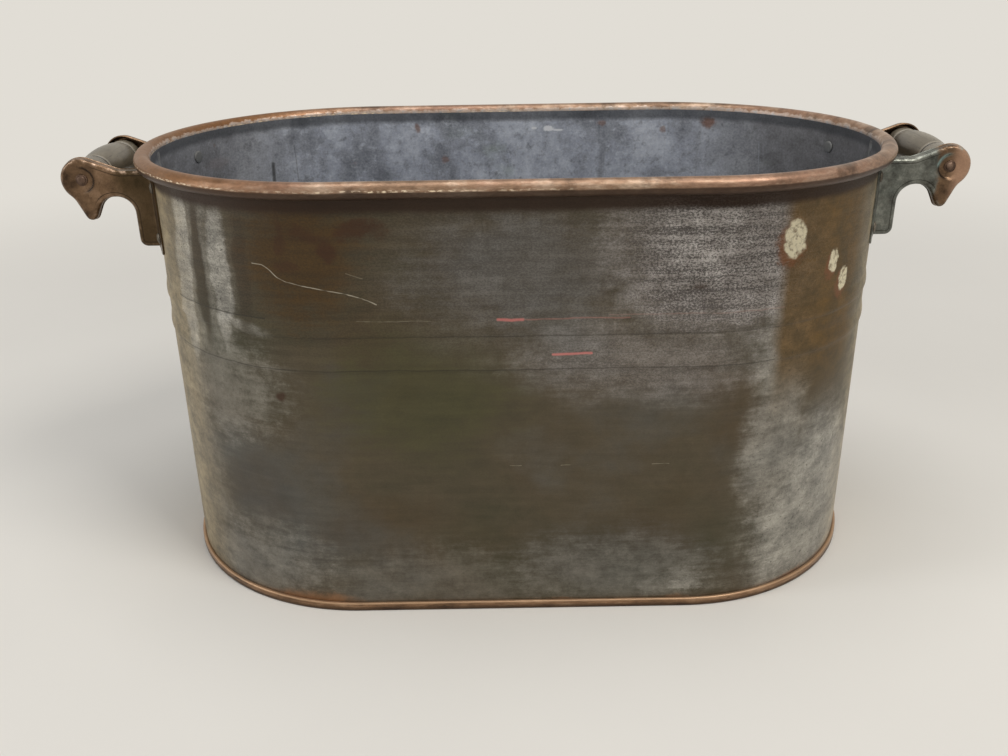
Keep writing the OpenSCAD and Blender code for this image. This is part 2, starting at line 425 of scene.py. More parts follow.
FRONT_MARKS = WallMarks(
    name="tinned_front",
    tinned=patches(
        (186, 165, 42, 230, 0.56, 0.5), (245, 50, 112, 132, 0.85, 0.4, 0.2), (202, 60, 58, 110, 0.68, 0.7),
        # Bright tin. The patch at run 120, height 290 also paints a sheen, and the tall narrow ones at runs
        # -252 and -210 paint vertical reflections over the tin of the left end.
        (120, 290, 44, 62, 0.62, 0.5), (-262, 80, 62, 160, 0.2, 0.9), (-222, 180, 92, 74, 0.34, 1.0),
        (-205, 30, 110, 66, 0.33, 0.9), (-252, 262, 15, 104, 1.0, 0.3, 0.4),
        (-210, 258, 14, 84, 0.85, 0.35, 0.3), (-196, 227, 30, 9, 0.5, 0.7), (-232, 256, 60, 92, 0.36, 0.4),
        (62, 24, 150, 56, 0.24, 0.8), (-70, 22, 160, 50, 0.18, 0.8), (112, 18, 52, 24, 0.42, 0.8),
        (124, 15, 24, 13, 0.7, 1.0),
    ),
    mossy=patches((-70, 180, 120, 80, 0.6)),
    slaty=patches((0, 266, 130, 60, 0.42), (70, 40, 120, 50, 0.4)),
    amber=patches((-146, 280, 80, 74, 0.98)),
    bare=patches(
        (-196, 98, 52, 50, 0.5, 0.6), (-231, 262, 10, 84, 1.0, 0.3, 0.3),
        (-190, 266, 10, 72, 0.8, 0.4, 0.2),
    ),
    pitting=patches(
        (132, 280, 128, 112, 0.86, 0.35), (30, 266, 190, 92, 0.15, 0.4), (86, 206, 160, 50, 0.42, 0.5),
    ),
    rusty=patches(
        (-172, 2, 70, 18, 0.7, 0.6, 0.1), (-60, 0, 90, 9, 0.5, 0.6), (60, 0, 120, 8, 0.5, 0.6),
        (226, 2, 64, 15, 0.6, 0.6, 0.1),
    ),
    stains=patches(
        (-125, 288, 11, 12, 0.75, 0.8, 0.2), (-140, 296, 24, 7, 0.6, 1.0), (-104, 300, 22, 10, 0.75, 1.0),
        (-157, 292, 8, 22, 0.55, 1.0), (-156, 270, 15, 6, 0.5, 1.0), (120, 254, 10, 4, 0.5, 0.8),
        (-169, 182, 5, 5, 0.8, 0.6, 0.1),
    ),
    scratches_and_crease_shade=(
        MarkLine(((-180, 273), (-173, 272.6), (-167, 269), (-162, 265), (-156, 262), (-140, 258.6),
                 (-116, 254), (-105, 250.5), (-96, 246)), tone(190, 182, 164), 0.52, 0.75),
        MarkLine(((-115, 268), (-104, 264)), tone(150, 140, 120), 0.5, 0.4),
        MarkLine(((-110, 234.4), (-86, 234), (-60, 233.6)), tone(150, 142, 122), 0.5, 0.35),
        # Dark lines at heights 198, 235 and 222: painted shade in the beads' creases.
        MarkLine(((-270, 198.4), (-150, 198), (40, 197.6), (178, 198)), tone(44, 40, 34), 0.8, 0.5),
        MarkLine(((-266, 235), (-175, 234.4)), tone(44, 40, 34), 0.9, 0.6),
        MarkLine(((-140, 222.4), (60, 222), (180, 222.6)), tone(48, 44, 38), 0.7, 0.4),
        MarkLine(((60, 236.5), (182, 236)), tone(160, 130, 120), 0.7, 0.4),
        MarkLine(((-15, 234), (-6, 233.4), (2, 234)), tone(206, 122, 116), 1.5, 0.75),
        MarkLine(((2, 234), (30, 234.4), (74, 234.2)), tone(172, 120, 110), 0.8, 0.4),
        MarkLine(((22, 208.4), (49, 208.8)), tone(212, 128, 122), 1.3, 0.75),
        MarkLine(((-8, 122.4), (0, 122.4)), tone(150, 142, 122), 0.45, 0.6),
        MarkLine(((28, 122), (48, 122.4)), tone(160, 152, 130), 0.45, 0.7),
        MarkLine(((94, 121.8), (106, 122)), tone(150, 142, 122), 0.45, 0.6),
    ),
    crusts=patches(
        (186, 283, 11, 16, 1.0, 0.3, 0.6), (226, 262, 6, 10.5, 1.0, 0.3, 0.6),
        (241, 246, 7, 11, 1.0, 0.3, 0.6),
    ),
)
REAR_MARKS = WallMarks(
    name="tinned_rear",
    tinned=patches(
        (560, 80, 140, 130, 0.8, 0.5, 0.1), (905, 110, 140, 120, 0.75, 0.5, 0.1),
        (730, 30, 250, 60, 0.5, 0.6), (985, 262, 16, 96, 0.8, 0.4, 0.2),
    ),
    mossy=patches((640, 150, 140, 90, 0.5)),
    slaty=patches((760, 230, 180, 80, 0.5)),
    amber=patches((830, 280, 110, 60, 0.8)),
    bare=patches((650, 110, 60, 56, 0.7, 0.5)),
    pitting=patches((700, 240, 240, 110, 0.85, 0.4), (560, 280, 90, 80, 0.6, 0.4)),
    rusty=patches((700, 2, 240, 12, 0.6, 0.6), (960, 2, 60, 15, 0.6, 0.6)),
    stains=patches((780, 285, 40, 16, 0.7, 1.0), (880, 262, 16, 9, 0.6, 1.0)),
    scratches_and_crease_shade=(
        MarkLine(((610, 180), (640, 168), (668, 150)), tone(170, 160, 140), 0.6, 0.6),
        MarkLine(((770, 260), (812, 252)), tone(176, 128, 108), 0.8, 0.6),
        # Dark lines at heights 198 and 234.4: painted shade in the beads' creases.
        MarkLine(((470, 198), (980, 198)), tone(44, 40, 34), 0.8, 0.5),
        MarkLine(((520, 234.4), (940, 234)), tone(48, 44, 38), 0.7, 0.4),
    ),
    crusts=patches((930, 262, 6, 9, 1.0, 0.3, 0.6)),
)


@dataclass(frozen=True)
class TinnedWall:
    """Outside of the body: dull worn tin over copper, with bright tin, pits, stains and scratches, and
    painted light: shadow under the rim, reflections and sheen, and shade in the beads' creases.
    """

    marks: WallMarks
    olive: Colour = tone(76, 72, 52)
    brown: Colour = tone(90, 80, 62)
    slate: Colour = tone(96, 96, 92)
    cool: Colour = tone(88, 88, 87)
    moss: Colour = tone(78, 77, 46)
    umber: Colour = tone(80, 59, 28)
    tin_dull: Colour = tone(130, 128, 122)
    tin_bright: Colour = tone(196, 192, 182)
    pitted_dull: Colour = tone(138, 130, 126)
    pitted_tone: Colour = tone(206, 200, 198)
    pit: Colour = tone(40, 35, 33)
    soot_and_shade: Colour = tone(50, 32, 18)
    stain: Colour = tone(66, 40, 24)
    end_brown: Colour = tone(108, 80, 35)
    end_dark: Colour = tone(80, 64, 33)
    end_reflection: Colour = tone(182, 165, 132)
    orange: Colour = tone(150, 106, 68)
    lime: Colour = tone(222, 212, 182)
    lime_dark: Colour = tone(148, 134, 110)
    rust: Colour = tone(118, 76, 46)

    def ground(self, book: ShadeBook, flat: Any, ragged: Any, fray: Any) -> Socket:
        """Dull patina under everything else.

        Args:
            book: Material being made.
            flat: Coordinates on the unrolled wall, in metres.
            ragged: The same, pushed about by noise.
            fray: Noise that frays patches.

        Returns:
            Its colour.
        """
        clouds = book.noise(book.stretch(flat, (1, 1.3, 1)), 5, 6, 0.55)
        colour = book.ramp(clouds, (0.34, self.olive), (0.5, self.brown), (0.68, self.slate))
        drifts = book.noise(book.stretch(flat, (1, 1, 1), (2.7, 0.9, 0)), 9, 5, 0.55)
        colour = book.mix(book.band(drifts, 0.5, 0.7, 0, 0.35), colour, self.umber)
        colour = book.mix(covered(book, self.marks.slaty, ragged, fray), colour, self.cool)
        colour = book.mix(covered(book, self.marks.mossy, ragged, fray), colour, self.moss)
        return book.mix(covered(book, self.marks.amber, ragged, fray), colour, self.umber)

    def end_patina(self, book: ShadeBook, colour: Any, height: Any, flat: Any, clouded: Any) -> Socket:
        """Brown area at the right end with a sharp border, and a painted reflection: paler metal towards both
        seams.

        Args:
            book: Material being made.
            colour: Colour to go on from.
            height: Frayed height on the wall, in metres.
            flat: Coordinates on the unrolled wall, in metres.
            clouded: Noise that mottles the paler metal of the painted reflection.

        Returns:
            The new colour.
        """
        run = book.part(book.wobble(flat, 26, 0.005, 6), "X")
        brown = book.times(book.band(run, 0.172, 0.186), book.band(run, 0.285, 0.245))
        brown = book.times(brown, book.band(height, 0.14, 0.2, 0.0, 0.88))
        shade = book.ramp(clouded, (0.36, self.end_dark), (0.6, self.end_brown))
        colour = book.mix(brown, colour, shade)
        # Painted reflection: paler metal in bands towards both seams, mottled.
        side = book.math("PINGPONG", book.math("SUBTRACT", run, 0.012), 0.7298)
        pale = book.times(book.band(side, 0.236, 0.3), book.band(side, 0.47, 0.35))
        pale = book.times(pale, book.band(clouded, 0.36, 0.62, 0.25, 0.8))
        return book.mix(pale, colour, self.end_reflection)

    def crusted(self, book: ShadeBook, colour: Any, flat: Any) -> tuple[Any, Any, Any]:
        """Spots of lime crust, each with a rusty halo.

        Args:
            book: Material being made.
            colour: Colour to go on from.
            flat: Coordinates on the unrolled wall, in metres.

        Returns:
            The new colour, how far crust covers each point, and its lumps.
        """
        where = book.wobble(flat, 130, 0.0035, 6)
        lumps = book.noise(flat, 240, 6, 0.65)
        halos = [Patch(spot.run - 2.5, spot.height - 4, spot.reach_run * 1.5, spot.reach_height * 1.35,
                       0.85, 0.5, 0.3) for spot in self.marks.crusts]
        colour = book.mix(covered(book, halos, where, lumps), colour, self.rust)
        crust = covered(book, self.marks.crusts, where, lumps)
        shade = book.ramp(lumps, (0.26, self.rust), (0.38, self.lime_dark), (0.52, self.lime))
        dots = book.band(book.noise(flat, 620, 3, 0.6), 0.66, 0.74, 0.0, 0.6)
        return book.mix(crust, colour, book.mix(dots, shade, self.soot_and_shade)), crust, lumps

    def make(self) -> Material:
        """Builds the material.

        Returns:
            The finished material.
        """
        book = ShadeBook(self.marks.name)
        flat = book.unrolled()
        ragged = book.wobble(flat, 14, 0.02, 7)
        height = book.part(ragged, "Y")
        brushed = book.noise(book.stretch(flat, (0.1, 1, 1)), 190, 7, 0.7)
        clouded = book.noise(book.stretch(flat, (0.85, 1, 1)), 52, 12, 0.82)
        fray = book.blend(0.4, clouded, brushed)
        colour = self.ground(book, flat, ragged, fray)
        tin = covered(book, self.marks.tinned, ragged, fray)
        bare = covered(book, self.marks.bare, ragged, fray)
        tin = book.times(tin, book.math("SUBTRACT", 1.0, bare))
        colour = book.mix(book.times(bare, 0.4), colour, self.soot_and_shade)
        colour = book.mix(tin, colour, book.ramp(clouded, (0.36, self.tin_dull), (0.62, self.tin_bright)))
        pitting = covered(book, self.marks.pitting, ragged, fray)
        haze = book.ramp(clouded, (0.36, self.pitted_dull), (0.6, self.pitted_tone))
        colour = book.mix(book.times(pitting, 0.75), colour, haze)
        rows = book.noise(book.stretch(flat, (0.05, 1, 1)), 260, 3, 0.6)
        grit = book.noise(book.stretch(flat, (0.7, 1, 1)), 860, 5, 0.8)
        gritty = book.math("MULTIPLY_ADD", rows, 0.3, grit)
        pits = book.band(gritty, 0.6, 0.7)
        pitted = book.times(pits, book.math("MAXIMUM", pitting, book.band(height, 0.19, 0.25, 0.12, 0.4)))
        colour = book.mix(book.times(pitted, 0.85), colour, self.pit)
        colour = self.end_patina(book, colour, height, flat, clouded)
        colour = book.mix(covered(book, self.marks.stains, ragged, clouded), colour, self.stain)
        fine = book.wobble(flat, 60, 0.0012, 3)
        level = book.part(fine, "Y")
        # Dark band under the rim: painted shadow of the rim, over some soot.
        colour = book.mix(book.band(level, 0.305, 0.311, 0, 0.93), colour, self.soot_and_shade)
        colour = book.mix(covered(book, self.marks.rusty, ragged, clouded), colour, self.orange)
        colour = book.grained(colour, 0.3, fray, 80, 214, 0.36, 0.64)
        specks = book.band(book.noise(flat, 330, 3, 0.55), 0.625, 0.68, 0.0, 0.7)
        colour = book.mix(book.times(specks, tin), colour, self.pit)
        # Scratches, and painted shade along the beads' creases.
        for stroke in self.marks.scratches_and_crease_shade:
            colour = book.mix(stroke.mark(book, fine), colour, stroke.shade)
        colour, crust, lumps = self.crusted(book, colour, flat)
        bright = book.math("MAXIMUM", tin, book.times(pitting, 0.7))
        rough = book.math("MULTIPLY_ADD", brushed, 0.14, book.blend(bright, 0.42, 0.3))
        rough = book.math("MULTIPLY_ADD", pitted, 0.25, rough)
        rough = book.blend(crust, rough, 0.9)
        metal = book.blend(crust, book.blend(bright, 0.5, 0.78), 0.0)
        normal = book.bump(brushed, 0.12, 0.5)
        normal = book.bump(book.noise(flat, 32, 4, 0.5), 0.6, 0.3, normal)
        normal = book.bump(pits, -0.15, pitting, normal)
        normal = book.bump(lumps, 1.2, crust, normal)
        return book.close(colour, rough, metal, normal)


@dataclass(frozen=True)
class TinnedInside:
    """Inside of the body: bluish grey tin, mottled, with copper showing in spots, painted shade towards both
    ends and painted shadow under the rim.
    """

    dark: Colour = tone(112, 116, 124)
    middle: Colour = tone(186, 191, 202)
    light: Colour = tone(232, 237, 246)
    copper: Colour = tone(142, 104, 86)
    green: Colour = tone(160, 176, 160)
    end_shade: Colour = tone(98, 92, 84)
    shadow: Colour = tone(66, 69, 74)
    chips: tuple[MarkLine, ...] = (
        MarkLine(((954, 286), (954.5, 270)), tone(58, 56, 52), 2.6, 0.75),
        MarkLine(((955, 261), (955, 259)), tone(64, 62, 58), 1.8, 0.6),
        MarkLine(((932, 300), (931, 268)), tone(96, 98, 102), 1.0, 0.35),
        MarkLine(((500, 300), (498, 272)), tone(176, 182, 190), 0.8, 0.5),
    )
    copper_spots: tuple[Patch, ...] = patches(
        (648, 312, 7, 6, 0.6, 0.8), (548, 314, 13, 9, 0.85, 0.8), (590, 307, 5, 5, 0.6, 0.8),
        (817, 311, 5, 6, 0.7, 0.8), (1012, 296, 22, 9, 0.12, 0.9), (792, 281, 6, 6, 0.6, 0.9),
        (512, 252, 7, 8, 0.8, 0.8),
    )
    flakes: tuple[Patch, ...] = patches(
        (696, 308.6, 7, 3.6, 1.0, 0.9, 0.3), (687, 307, 7, 1.5, 0.9, 0.6, 0.3),
        (709, 309, 4, 1.6, 0.9, 0.5, 0.3),
    )
    flake: Colour = tone(246, 248, 252)

    def make(self) -> Material:
        """Builds the material.

        Returns:
            The finished material.
        """
        book = ShadeBook("tinned_inside")
        flat = book.unrolled()
        ragged = book.wobble(flat, 90, 0.004, 5)
        clouds = book.noise(book.stretch(flat, (1, 0.8, 1)), 16, 8, 0.65)
        colour = book.ramp(clouds, (0.3, self.dark), (0.5, self.middle), (0.7, self.light))
        mottle = book.noise(flat, 110, 7, 0.72)
        colour = book.mix(book.band(mottle, 0.5, 0.3, 0, 0.55), colour, self.dark)
        colour = book.mix(book.band(mottle, 0.52, 0.7, 0, 0.5), colour, self.light)
        drips = book.noise(book.stretch(flat, (1, 0.12, 1)), 55, 5, 0.6)
        colour = book.mix(book.band(drips, 0.58, 0.74, 0, 0.5), colour, self.dark)
        blooms = book.noise(book.stretch(flat, (1, 1, 1), (2.2, 0.7, 0)), 42, 9, 0.75)
        colour = book.mix(book.band(blooms, 0.54, 0.66, 0, 0.6), colour, self.light)
        colour = book.mix(book.band(blooms, 0.44, 0.32, 0, 0.6), colour, self.dark)
        greenish = book.noise(book.stretch(flat, (1, 1, 1), (1.3, 4.1, 0)), 11, 4)
        colour = book.mix(book.band(greenish, 0.6, 0.72, 0, 0.5), colour, self.green)
        along = book.part(book.place(), "X")
        # Painted shade: darker towards both ends.
        colour = book.mix(book.band(along, 0.13, 0.26, 0.0, 0.7), colour, self.end_shade)
        colour = book.mix(book.band(along, -0.17, -0.27, 0.0, 0.55), colour, self.end_shade)
        spots = covered(book, self.copper_spots, ragged, mottle)
        blots = book.noise(book.stretch(flat, (1, 1, 1), (3.1, 1.7, 0)), 30, 6, 0.65)
        spots = book.math("MAXIMUM", spots, book.band(blots, 0.68, 0.76, 0, 0.5))
        colour = book.mix(spots, colour, self.copper)
        height = book.part(book.wobble(flat, 60, 0.0015, 4), "Y")
        colour = book.mix(book.band(height, 0.3135, 0.319, 0, 0.75), colour, self.shadow)
        colour = book.mix(covered(book, self.flakes, flat, mottle), colour, self.flake)
        for chip in self.chips:
            colour = book.mix(chip.mark(book, flat), colour, chip.shade)
        grains = book.noise(flat, 520, 4, 0.7)
        colour = book.grained(colour, 0.4, grains, 84, 210)
        rough = book.blend(mottle, 0.32, 0.6)
        normal = book.bump(book.noise(flat, 60, 5, 0.6), 0.5, 0.45)
        normal = book.bump(grains, 0.08, 0.5, normal)
        return book.close(colour, rough, 0.4, normal)


@dataclass(frozen=True)
class RimCopper:
    """Rolled rim: worn brown copper, with ragged tin on its inner side, nicks along its edge and painted
    shade on its underside.
    """

    dark: Colour = tone(78, 58, 41)
    middle: Colour = tone(152, 122, 98)
    light: Colour = tone(220, 198, 176)
    pink: Colour = tone(156, 116, 98)
    nick: Colour = tone(244, 226, 198)
    tin: Colour = tone(176, 178, 182)
    frayed: Colour = tone(222, 206, 194)
    stain: Colour = tone(60, 43, 31)
    tan: Colour = tone(128, 86, 46)

    def make(self) -> Material:
        """Builds the material.

        Returns:
            The finished material.
        """
        book = ShadeBook("rim_copper")
        flat = book.unrolled()
        out = book.attribute("out")
        height = book.part(book.wobble(flat, 60, 0.0006, 3), "Y")
        worn = book.noise(book.stretch(flat, (0.3, 1, 1)), 70, 8, 0.7)
        colour = book.ramp(worn, (0.3, self.dark), (0.5, self.middle), (0.72, self.light))
        colour = book.mix(book.band(book.noise(flat, 7, 4, 0.6), 0.42, 0.62, 0, 0.45), colour, self.pink)
        stains = book.noise(book.stretch(flat, (1, 1, 1), (5.3, 0.4, 0)), 22, 8, 0.66)
        colour = book.mix(book.band(stains, 0.5, 0.64, 0, 0.7), colour, self.stain)
        along = book.part(book.place(), "X")
        colour = book.mix(book.band(along, -0.12, -0.24, 0.0, 0.85), colour, self.tan)
        # Painted shade on the rim's underside, in the stain colour.
        colour = book.mix(book.band(height, 0.3246, 0.3232, 0, 0.88), colour, self.stain)
        edge = book.math("MULTIPLY_ADD", book.noise(flat, 120, 8, 0.75), 6.0, out)
        inner_tin = book.band(edge, 2.4, 1.6)
        colour = book.mix(book.times(book.band(edge, 3.2, 2.5), 0.5), colour, self.frayed)
        colour = book.mix(inner_tin, colour, self.tin)
        dots = book.noise(book.stretch(flat, (0.4, 1, 1)), 640, 3, 0.6)
        line = book.times(book.band(height, 0.3237, 0.3243), book.band(height, 0.3255, 0.3249))
        patchy = book.band(book.noise(book.stretch(flat, (1, 0.2, 1)), 14, 4), 0.4, 0.56, 0.2, 1.0)
        patchy = book.times(patchy, book.band(along, 0.06, -0.04, 0.12, 1.0))
        nicked = book.times(book.times(book.band(dots, 0.48, 0.6), line), patchy)
        colour = book.mix(nicked, colour, self.nick)
        fine = book.noise(book.stretch(flat, (0.4, 1, 1)), 700, 3, 0.6)
        colour = book.grained(colour, 0.3, fine, 84, 210)
        rough = book.math("MULTIPLY_ADD", inner_tin, -0.08, book.blend(worn, 0.5, 0.3))
        normal = book.bump(book.noise(flat, 160, 5, 0.6), 0.35, 0.5)
        normal = book.bump(book.noise(book.stretch(flat, (0.25, 1, 1)), 420, 3, 0.6), 0.12, 0.6, normal)
        return book.close(colour, rough, 0.6, normal)


@dataclass(frozen=True)
class FootCopper:
    """Seamed foot: dark orange-brown copper with old stains, a painted highlight along its top edge and
    painted shadow along its bottom.
    """

    dark: Colour = tone(80, 58, 40)
    middle: Colour = tone(146, 112, 82)
    light: Colour = tone(196, 162, 130)
    stain: Colour = tone(48, 35, 25)

    def make(self) -> Material:
        """Builds the material.

        Returns:
            The finished material.
        """
        book = ShadeBook("foot_copper")
        place = book.place()
        worn = book.noise(book.stretch(place, (1, 1, 4)), 30, 8, 0.65)
        colour = book.ramp(worn, (0.3, self.dark), (0.5, self.middle), (0.72, self.light))
        stains = book.noise(book.stretch(place, (1, 1, 2)), 46, 6, 0.65)
        colour = book.mix(book.band(stains, 0.55, 0.7, 0, 0.8), colour, self.stain)
        fine = book.noise(place, 600, 3, 0.6)
        colour = book.grained(colour, 0.25, fine, 90, 200)
        height = book.part(book.wobble(place, 90, 0.0005, 3), "Z")
        # Painted highlight along the seam's top edge.
        colour = book.mix(book.times(book.band(height, 0.0052, 0.006), 0.6), colour, self.light)
        # Painted shadow along the bottom of the seam, in the stain colour.
        colour = book.mix(book.band(height, 0.0042, 0.0018, 0, 0.75), colour, self.stain)
        rough = book.blend(stains, 0.26, 0.5)
        normal = book.bump(book.noise(place, 140, 5, 0.6), 0.4, 0.5)
        return book.close(colour, rough, 0.6, normal)


class EarLook(Enum):
    """How much of its tin an ear has kept."""

    WORN_COPPER = "ear_worn_copper"
    KEPT_TIN = "ear_kept_tin"


@dataclass(frozen=True)
class EarMetal:
    """Stamped ear: brown copper rubbed bright at its edges, with or without its old tin, with painted shade
    in its creases and, on worn ears, towards the wall, and a painted highlight where its rubbed edges face
    up.
    """

    look: EarLook
    dark: Colour = tone(58, 42, 28)
    middle: Colour = tone(120, 94, 70)
    light: Colour = tone(162, 132, 106)
    rubbed: Colour = tone(196, 168, 146)
    tin_dark: Colour = tone(44, 48, 45)
    tin: Colour = tone(108, 112, 106)
    tin_light: Colour = tone(164, 166, 157)
    verdigris: Colour = tone(158, 186, 182)
    pink: Colour = tone(190, 152, 126)
    olive: Colour = tone(58, 46, 20)
    crease_shade: Colour = tone(26, 18, 11)

    def make(self) -> Material:
        """Builds the material.

        Returns:
            The finished material.
        """
        book = ShadeBook(self.look.value)
        place = book.place()
        clouds = book.noise(place, 44, 8, 0.66)
        colour = book.ramp(clouds, (0.3, self.dark), (0.52, self.middle), (0.74, self.light))
        mottle = book.noise(place, 210, 7, 0.68)
        colour = book.mix(book.band(mottle, 0.48, 0.3, 0, 0.6), colour, self.dark)
        crease = book.attribute("crease")
        away = book.attribute("away")
        kept_tin = self.look is EarLook.KEPT_TIN
        # Worn copper ears: painted shade, darker olive towards the wall. Ears that kept their tin: pinker
        # copper towards the head's outer side.
        shade, reach = (self.pink, (2.0, -8.0)) if kept_tin else (self.olive, (18.0, 32.0))
        colour = book.mix(book.band(away, *reach, 0.0, 0.7), colour, shade)
        # Painted shade in the crease along the dish's tubward edge.
        colour = book.mix(crease, colour, self.crease_shade)
        rubbed = self.tin_light if kept_tin else self.rubbed
        if kept_tin:
            ragged = book.math("MULTIPLY_ADD", clouds, 22.0, away)
            blotches = book.noise(book.stretch(place, (1, 1, 1), (0.3, 0.2, 0.7)), 75, 8, 0.7)
            kept = book.ramp(blotches, (0.34, self.tin_dark), (0.54, self.tin), (0.76, self.tin_light))
            colour = book.mix(book.band(ragged, 17.0, 22.0, 0.0, 0.92), colour, kept)
            high = book.part(place, "Z")
            green = book.times(crease, book.band(high, 0.309, 0.3135, 0.0, 0.95))
            colour = book.mix(green, colour, self.verdigris)
        edge = book.attribute("edge")
        # Painted shade in the pressed line inside the rounded edge.
        colour = book.mix(book.band(edge, -0.15, -0.9, 0.0, 0.8), colour, self.crease_shade)
        nicks = book.times(book.math("MAXIMUM", edge, 0.0), book.band(mottle, 0.46, 0.62))
        # Rubbed edges, brightest where they face up: partly real wear, partly a painted highlight; weaker on
        # the rear ears.
        upward = book.part(book.add("ShaderNodeNewGeometry").outputs["Normal"], "Z")
        rubs_and_highlight = book.times(nicks, book.band(upward, 0.1, 0.7, 0.25, 0.9))
        across = book.part(place, "Y")
        colour = book.mix(book.times(rubs_and_highlight, book.band(across, 0.02, -0.02, 0.2, 1.0)), colour, rubbed)
        fine = book.noise(place, 900, 3, 0.6)
        colour = book.grained(colour, 0.22, fine, 90, 200)
        rough = book.blend(clouds, 0.24, 0.48)
        normal = book.bump(book.noise(place, 230, 5, 0.6), 0.2, 0.4)
        normal = book.bump(book.noise(place, 60, 3, 0.5), 0.5, 0.35, normal)
        return book.close(colour, rough, 0.75, normal)


@dataclass(frozen=True)
class PlainMetal:
    """Small metal pieces: worn, cloudy and slightly hammered."""

    name: str
    dark: Colour
    middle: Colour
    light: Colour
    tinned: Colour | None = None

    def inside(self, book: ShadeBook, place: Any) -> Socket:
        """How far a point lies within the tub's wall.

        Args:
            book: Material being made.
            place: Object coordinates, in metres.

        Returns:
            A number from 0 to 1.
        """
        x, y, _ = book.add("ShaderNodeSeparateXYZ", {0: place}).outputs
        past = book.math("SUBTRACT", book.math("ABSOLUTE", x), TubPlan.half_run * MM)
        across = book.add("ShaderNodeCombineXYZ", {0: book.math("MAXIMUM", past, 0.0), 1: y}).outputs[0]
        return book.band(book.vector("LENGTH", across), TubPlan.wall_r * MM, (TubPlan.wall_r - 0.5) * MM)

    def make(self) -> Material:
        """Builds the material.

        Returns:
            The finished material.
        """
        book = ShadeBook(self.name)
        place = book.place()
        clouds = book.noise(place, 160, 6, 0.62)
        colour = book.ramp(clouds, (0.3, self.dark), (0.5, self.middle), (0.72, self.light))
        if self.tinned is not None:
            colour = book.mix(self.inside(book, place), colour, self.tinned)
        fine = book.noise(place, 900, 3, 0.6)
        colour = book.grained(colour, 0.25, fine, 90, 200)
        rough = book.blend(clouds, 0.36, 0.6)
        normal = book.bump(book.noise(place, 420, 4, 0.6), 0.25, 0.6)
        return book.close(colour, rough, 0.65, normal)


@dataclass(frozen=True)
class GripWood:
    """Turned grip: grey-brown wood, worn smooth, with grain along its length, a painted highlight beside each
    groove and painted shade in it.
    """

    dark: Colour = tone(62, 55, 44)
    middle: Colour = tone(104, 96, 82)
    light: Colour = tone(144, 136, 120)
    pore: Colour = tone(46, 38, 31)
    crease_shade: Colour = tone(30, 25, 20)
    worn: Colour = tone(168, 160, 146)
    grooves: Point2 = (34.1, -21.6)

    def make(self) -> Material:
        """Builds the material.

        Returns:
            The finished material.
        """
        book = ShadeBook("grip_wood")
        place = book.place()
        clouds = book.noise(book.stretch(place, (1, 0.5, 1)), 38, 6, 0.6)
        colour = book.ramp(clouds, (0.28, self.dark), (0.5, self.middle), (0.75, self.light))
        grain = book.noise(book.stretch(place, (1, 0.05, 1)), 520, 4, 0.65, 0.3)
        colour = book.mix(book.band(grain, 0.54, 0.7, 0, 0.45), colour, self.dark)
        pores = book.noise(book.stretch(place, (1, 0.09, 1)), 1500, 2, 0.5)
        colour = book.mix(book.band(pores, 0.62, 0.72, 0, 0.6), colour, self.pore)
        along = book.part(place, "Y")
        gaps = [book.math("SUBTRACT", along, groove * MM) for groove in self.grooves]
        off = book.math("MINIMUM", *(book.math("ABSOLUTE", gap) for gap in gaps))
        # Painted highlight: a pale ring beside each groove.
        colour = book.mix(book.band(off, 0.0032, 0.0018, 0.0, 0.55), colour, self.worn)
        # Painted shade in each groove.
        colour = book.mix(book.band(off, 0.0014, 0.0007, 0.0, 0.9), colour, self.crease_shade)
        rough = book.blend(clouds, 0.28, 0.42)
        normal = book.bump(grain, 0.12, 0.5)
        normal = book.bump(pores, -0.06, 0.5, normal)
        return book.close(colour, rough, 0.0, normal)


@dataclass(frozen=True)
class Solder:
    """Run of solder: bright lumpy tin-lead."""

    dark: Colour = tone(110, 110, 112)
    light: Colour = tone(186, 186, 184)

    def make(self) -> Material:
        """Builds the material.

        Returns:
            The finished material.
        """
        book = ShadeBook("solder")
        place = book.place()
        lumps = book.noise(place, 130, 5, 0.6)
        colour = book.ramp(lumps, (0.34, self.dark), (0.66, self.light))
        rough = book.blend(lumps, 0.52, 0.3)
        normal = book.bump(book.noise(place, 260, 4, 0.6), 0.5, 0.7)
        return book.close(colour, rough, 0.8, normal)


def make_piece(name: str, points: Any, faces: Any, *finishes: Material) -> Piece:
    """A mesh object at the origin.

    Args:
        name: Name of the piece.
        points: Points in millimetres.
        faces: Point numbers of each face.
        *finishes: Materials, in slot order.

    Returns:
        The new object.
    """
    mesh = bpy.data.meshes.new(name)
    mesh.from_pydata((np.asarray(points, dtype=float) * MM).tolist(), [], [list(face) for face in faces])
    mesh.validate()
    for finish in finishes:
        mesh.materials.append(finish)
    piece = bpy.data.objects.new(name, mesh)
    bpy.context.scene.collection.objects.link(piece)
    return piece


def face_outwards(piece: Piece, merge: float = 1e-6) -> None:
    """Merges doubled points of a closed mesh and turns its faces outwards.

    Args:
        piece: Mesh object.
        merge: Distance under which points are merged, in metres.
    """
    work = bmesh.new()
    work.from_mesh(piece.data)
    bmesh.ops.remove_doubles(work, verts=work.verts, dist=merge)
    bmesh.ops.recalc_face_normals(work, faces=work.faces)
    work.to_mesh(piece.data)
    work.free()


def shade_smooth(piece: Piece, angle: float = 40.0) -> None:
    """Smooth shading that keeps edges sharper than an angle, in degrees."""
    piece.data.shade_smooth()
    piece.data.set_sharp_from_angle(angle=math.radians(angle))


def discard(piece: Piece) -> None:
    """Removes an object that was only a means, and its data.

    Args:
        piece: Curve or mesh object.
    """
    data = piece.data
    bpy.data.objects.remove(piece)
    store = bpy.data.curves if isinstance(data, bpy.types.Curve) else bpy.data.meshes
    store.remove(data)


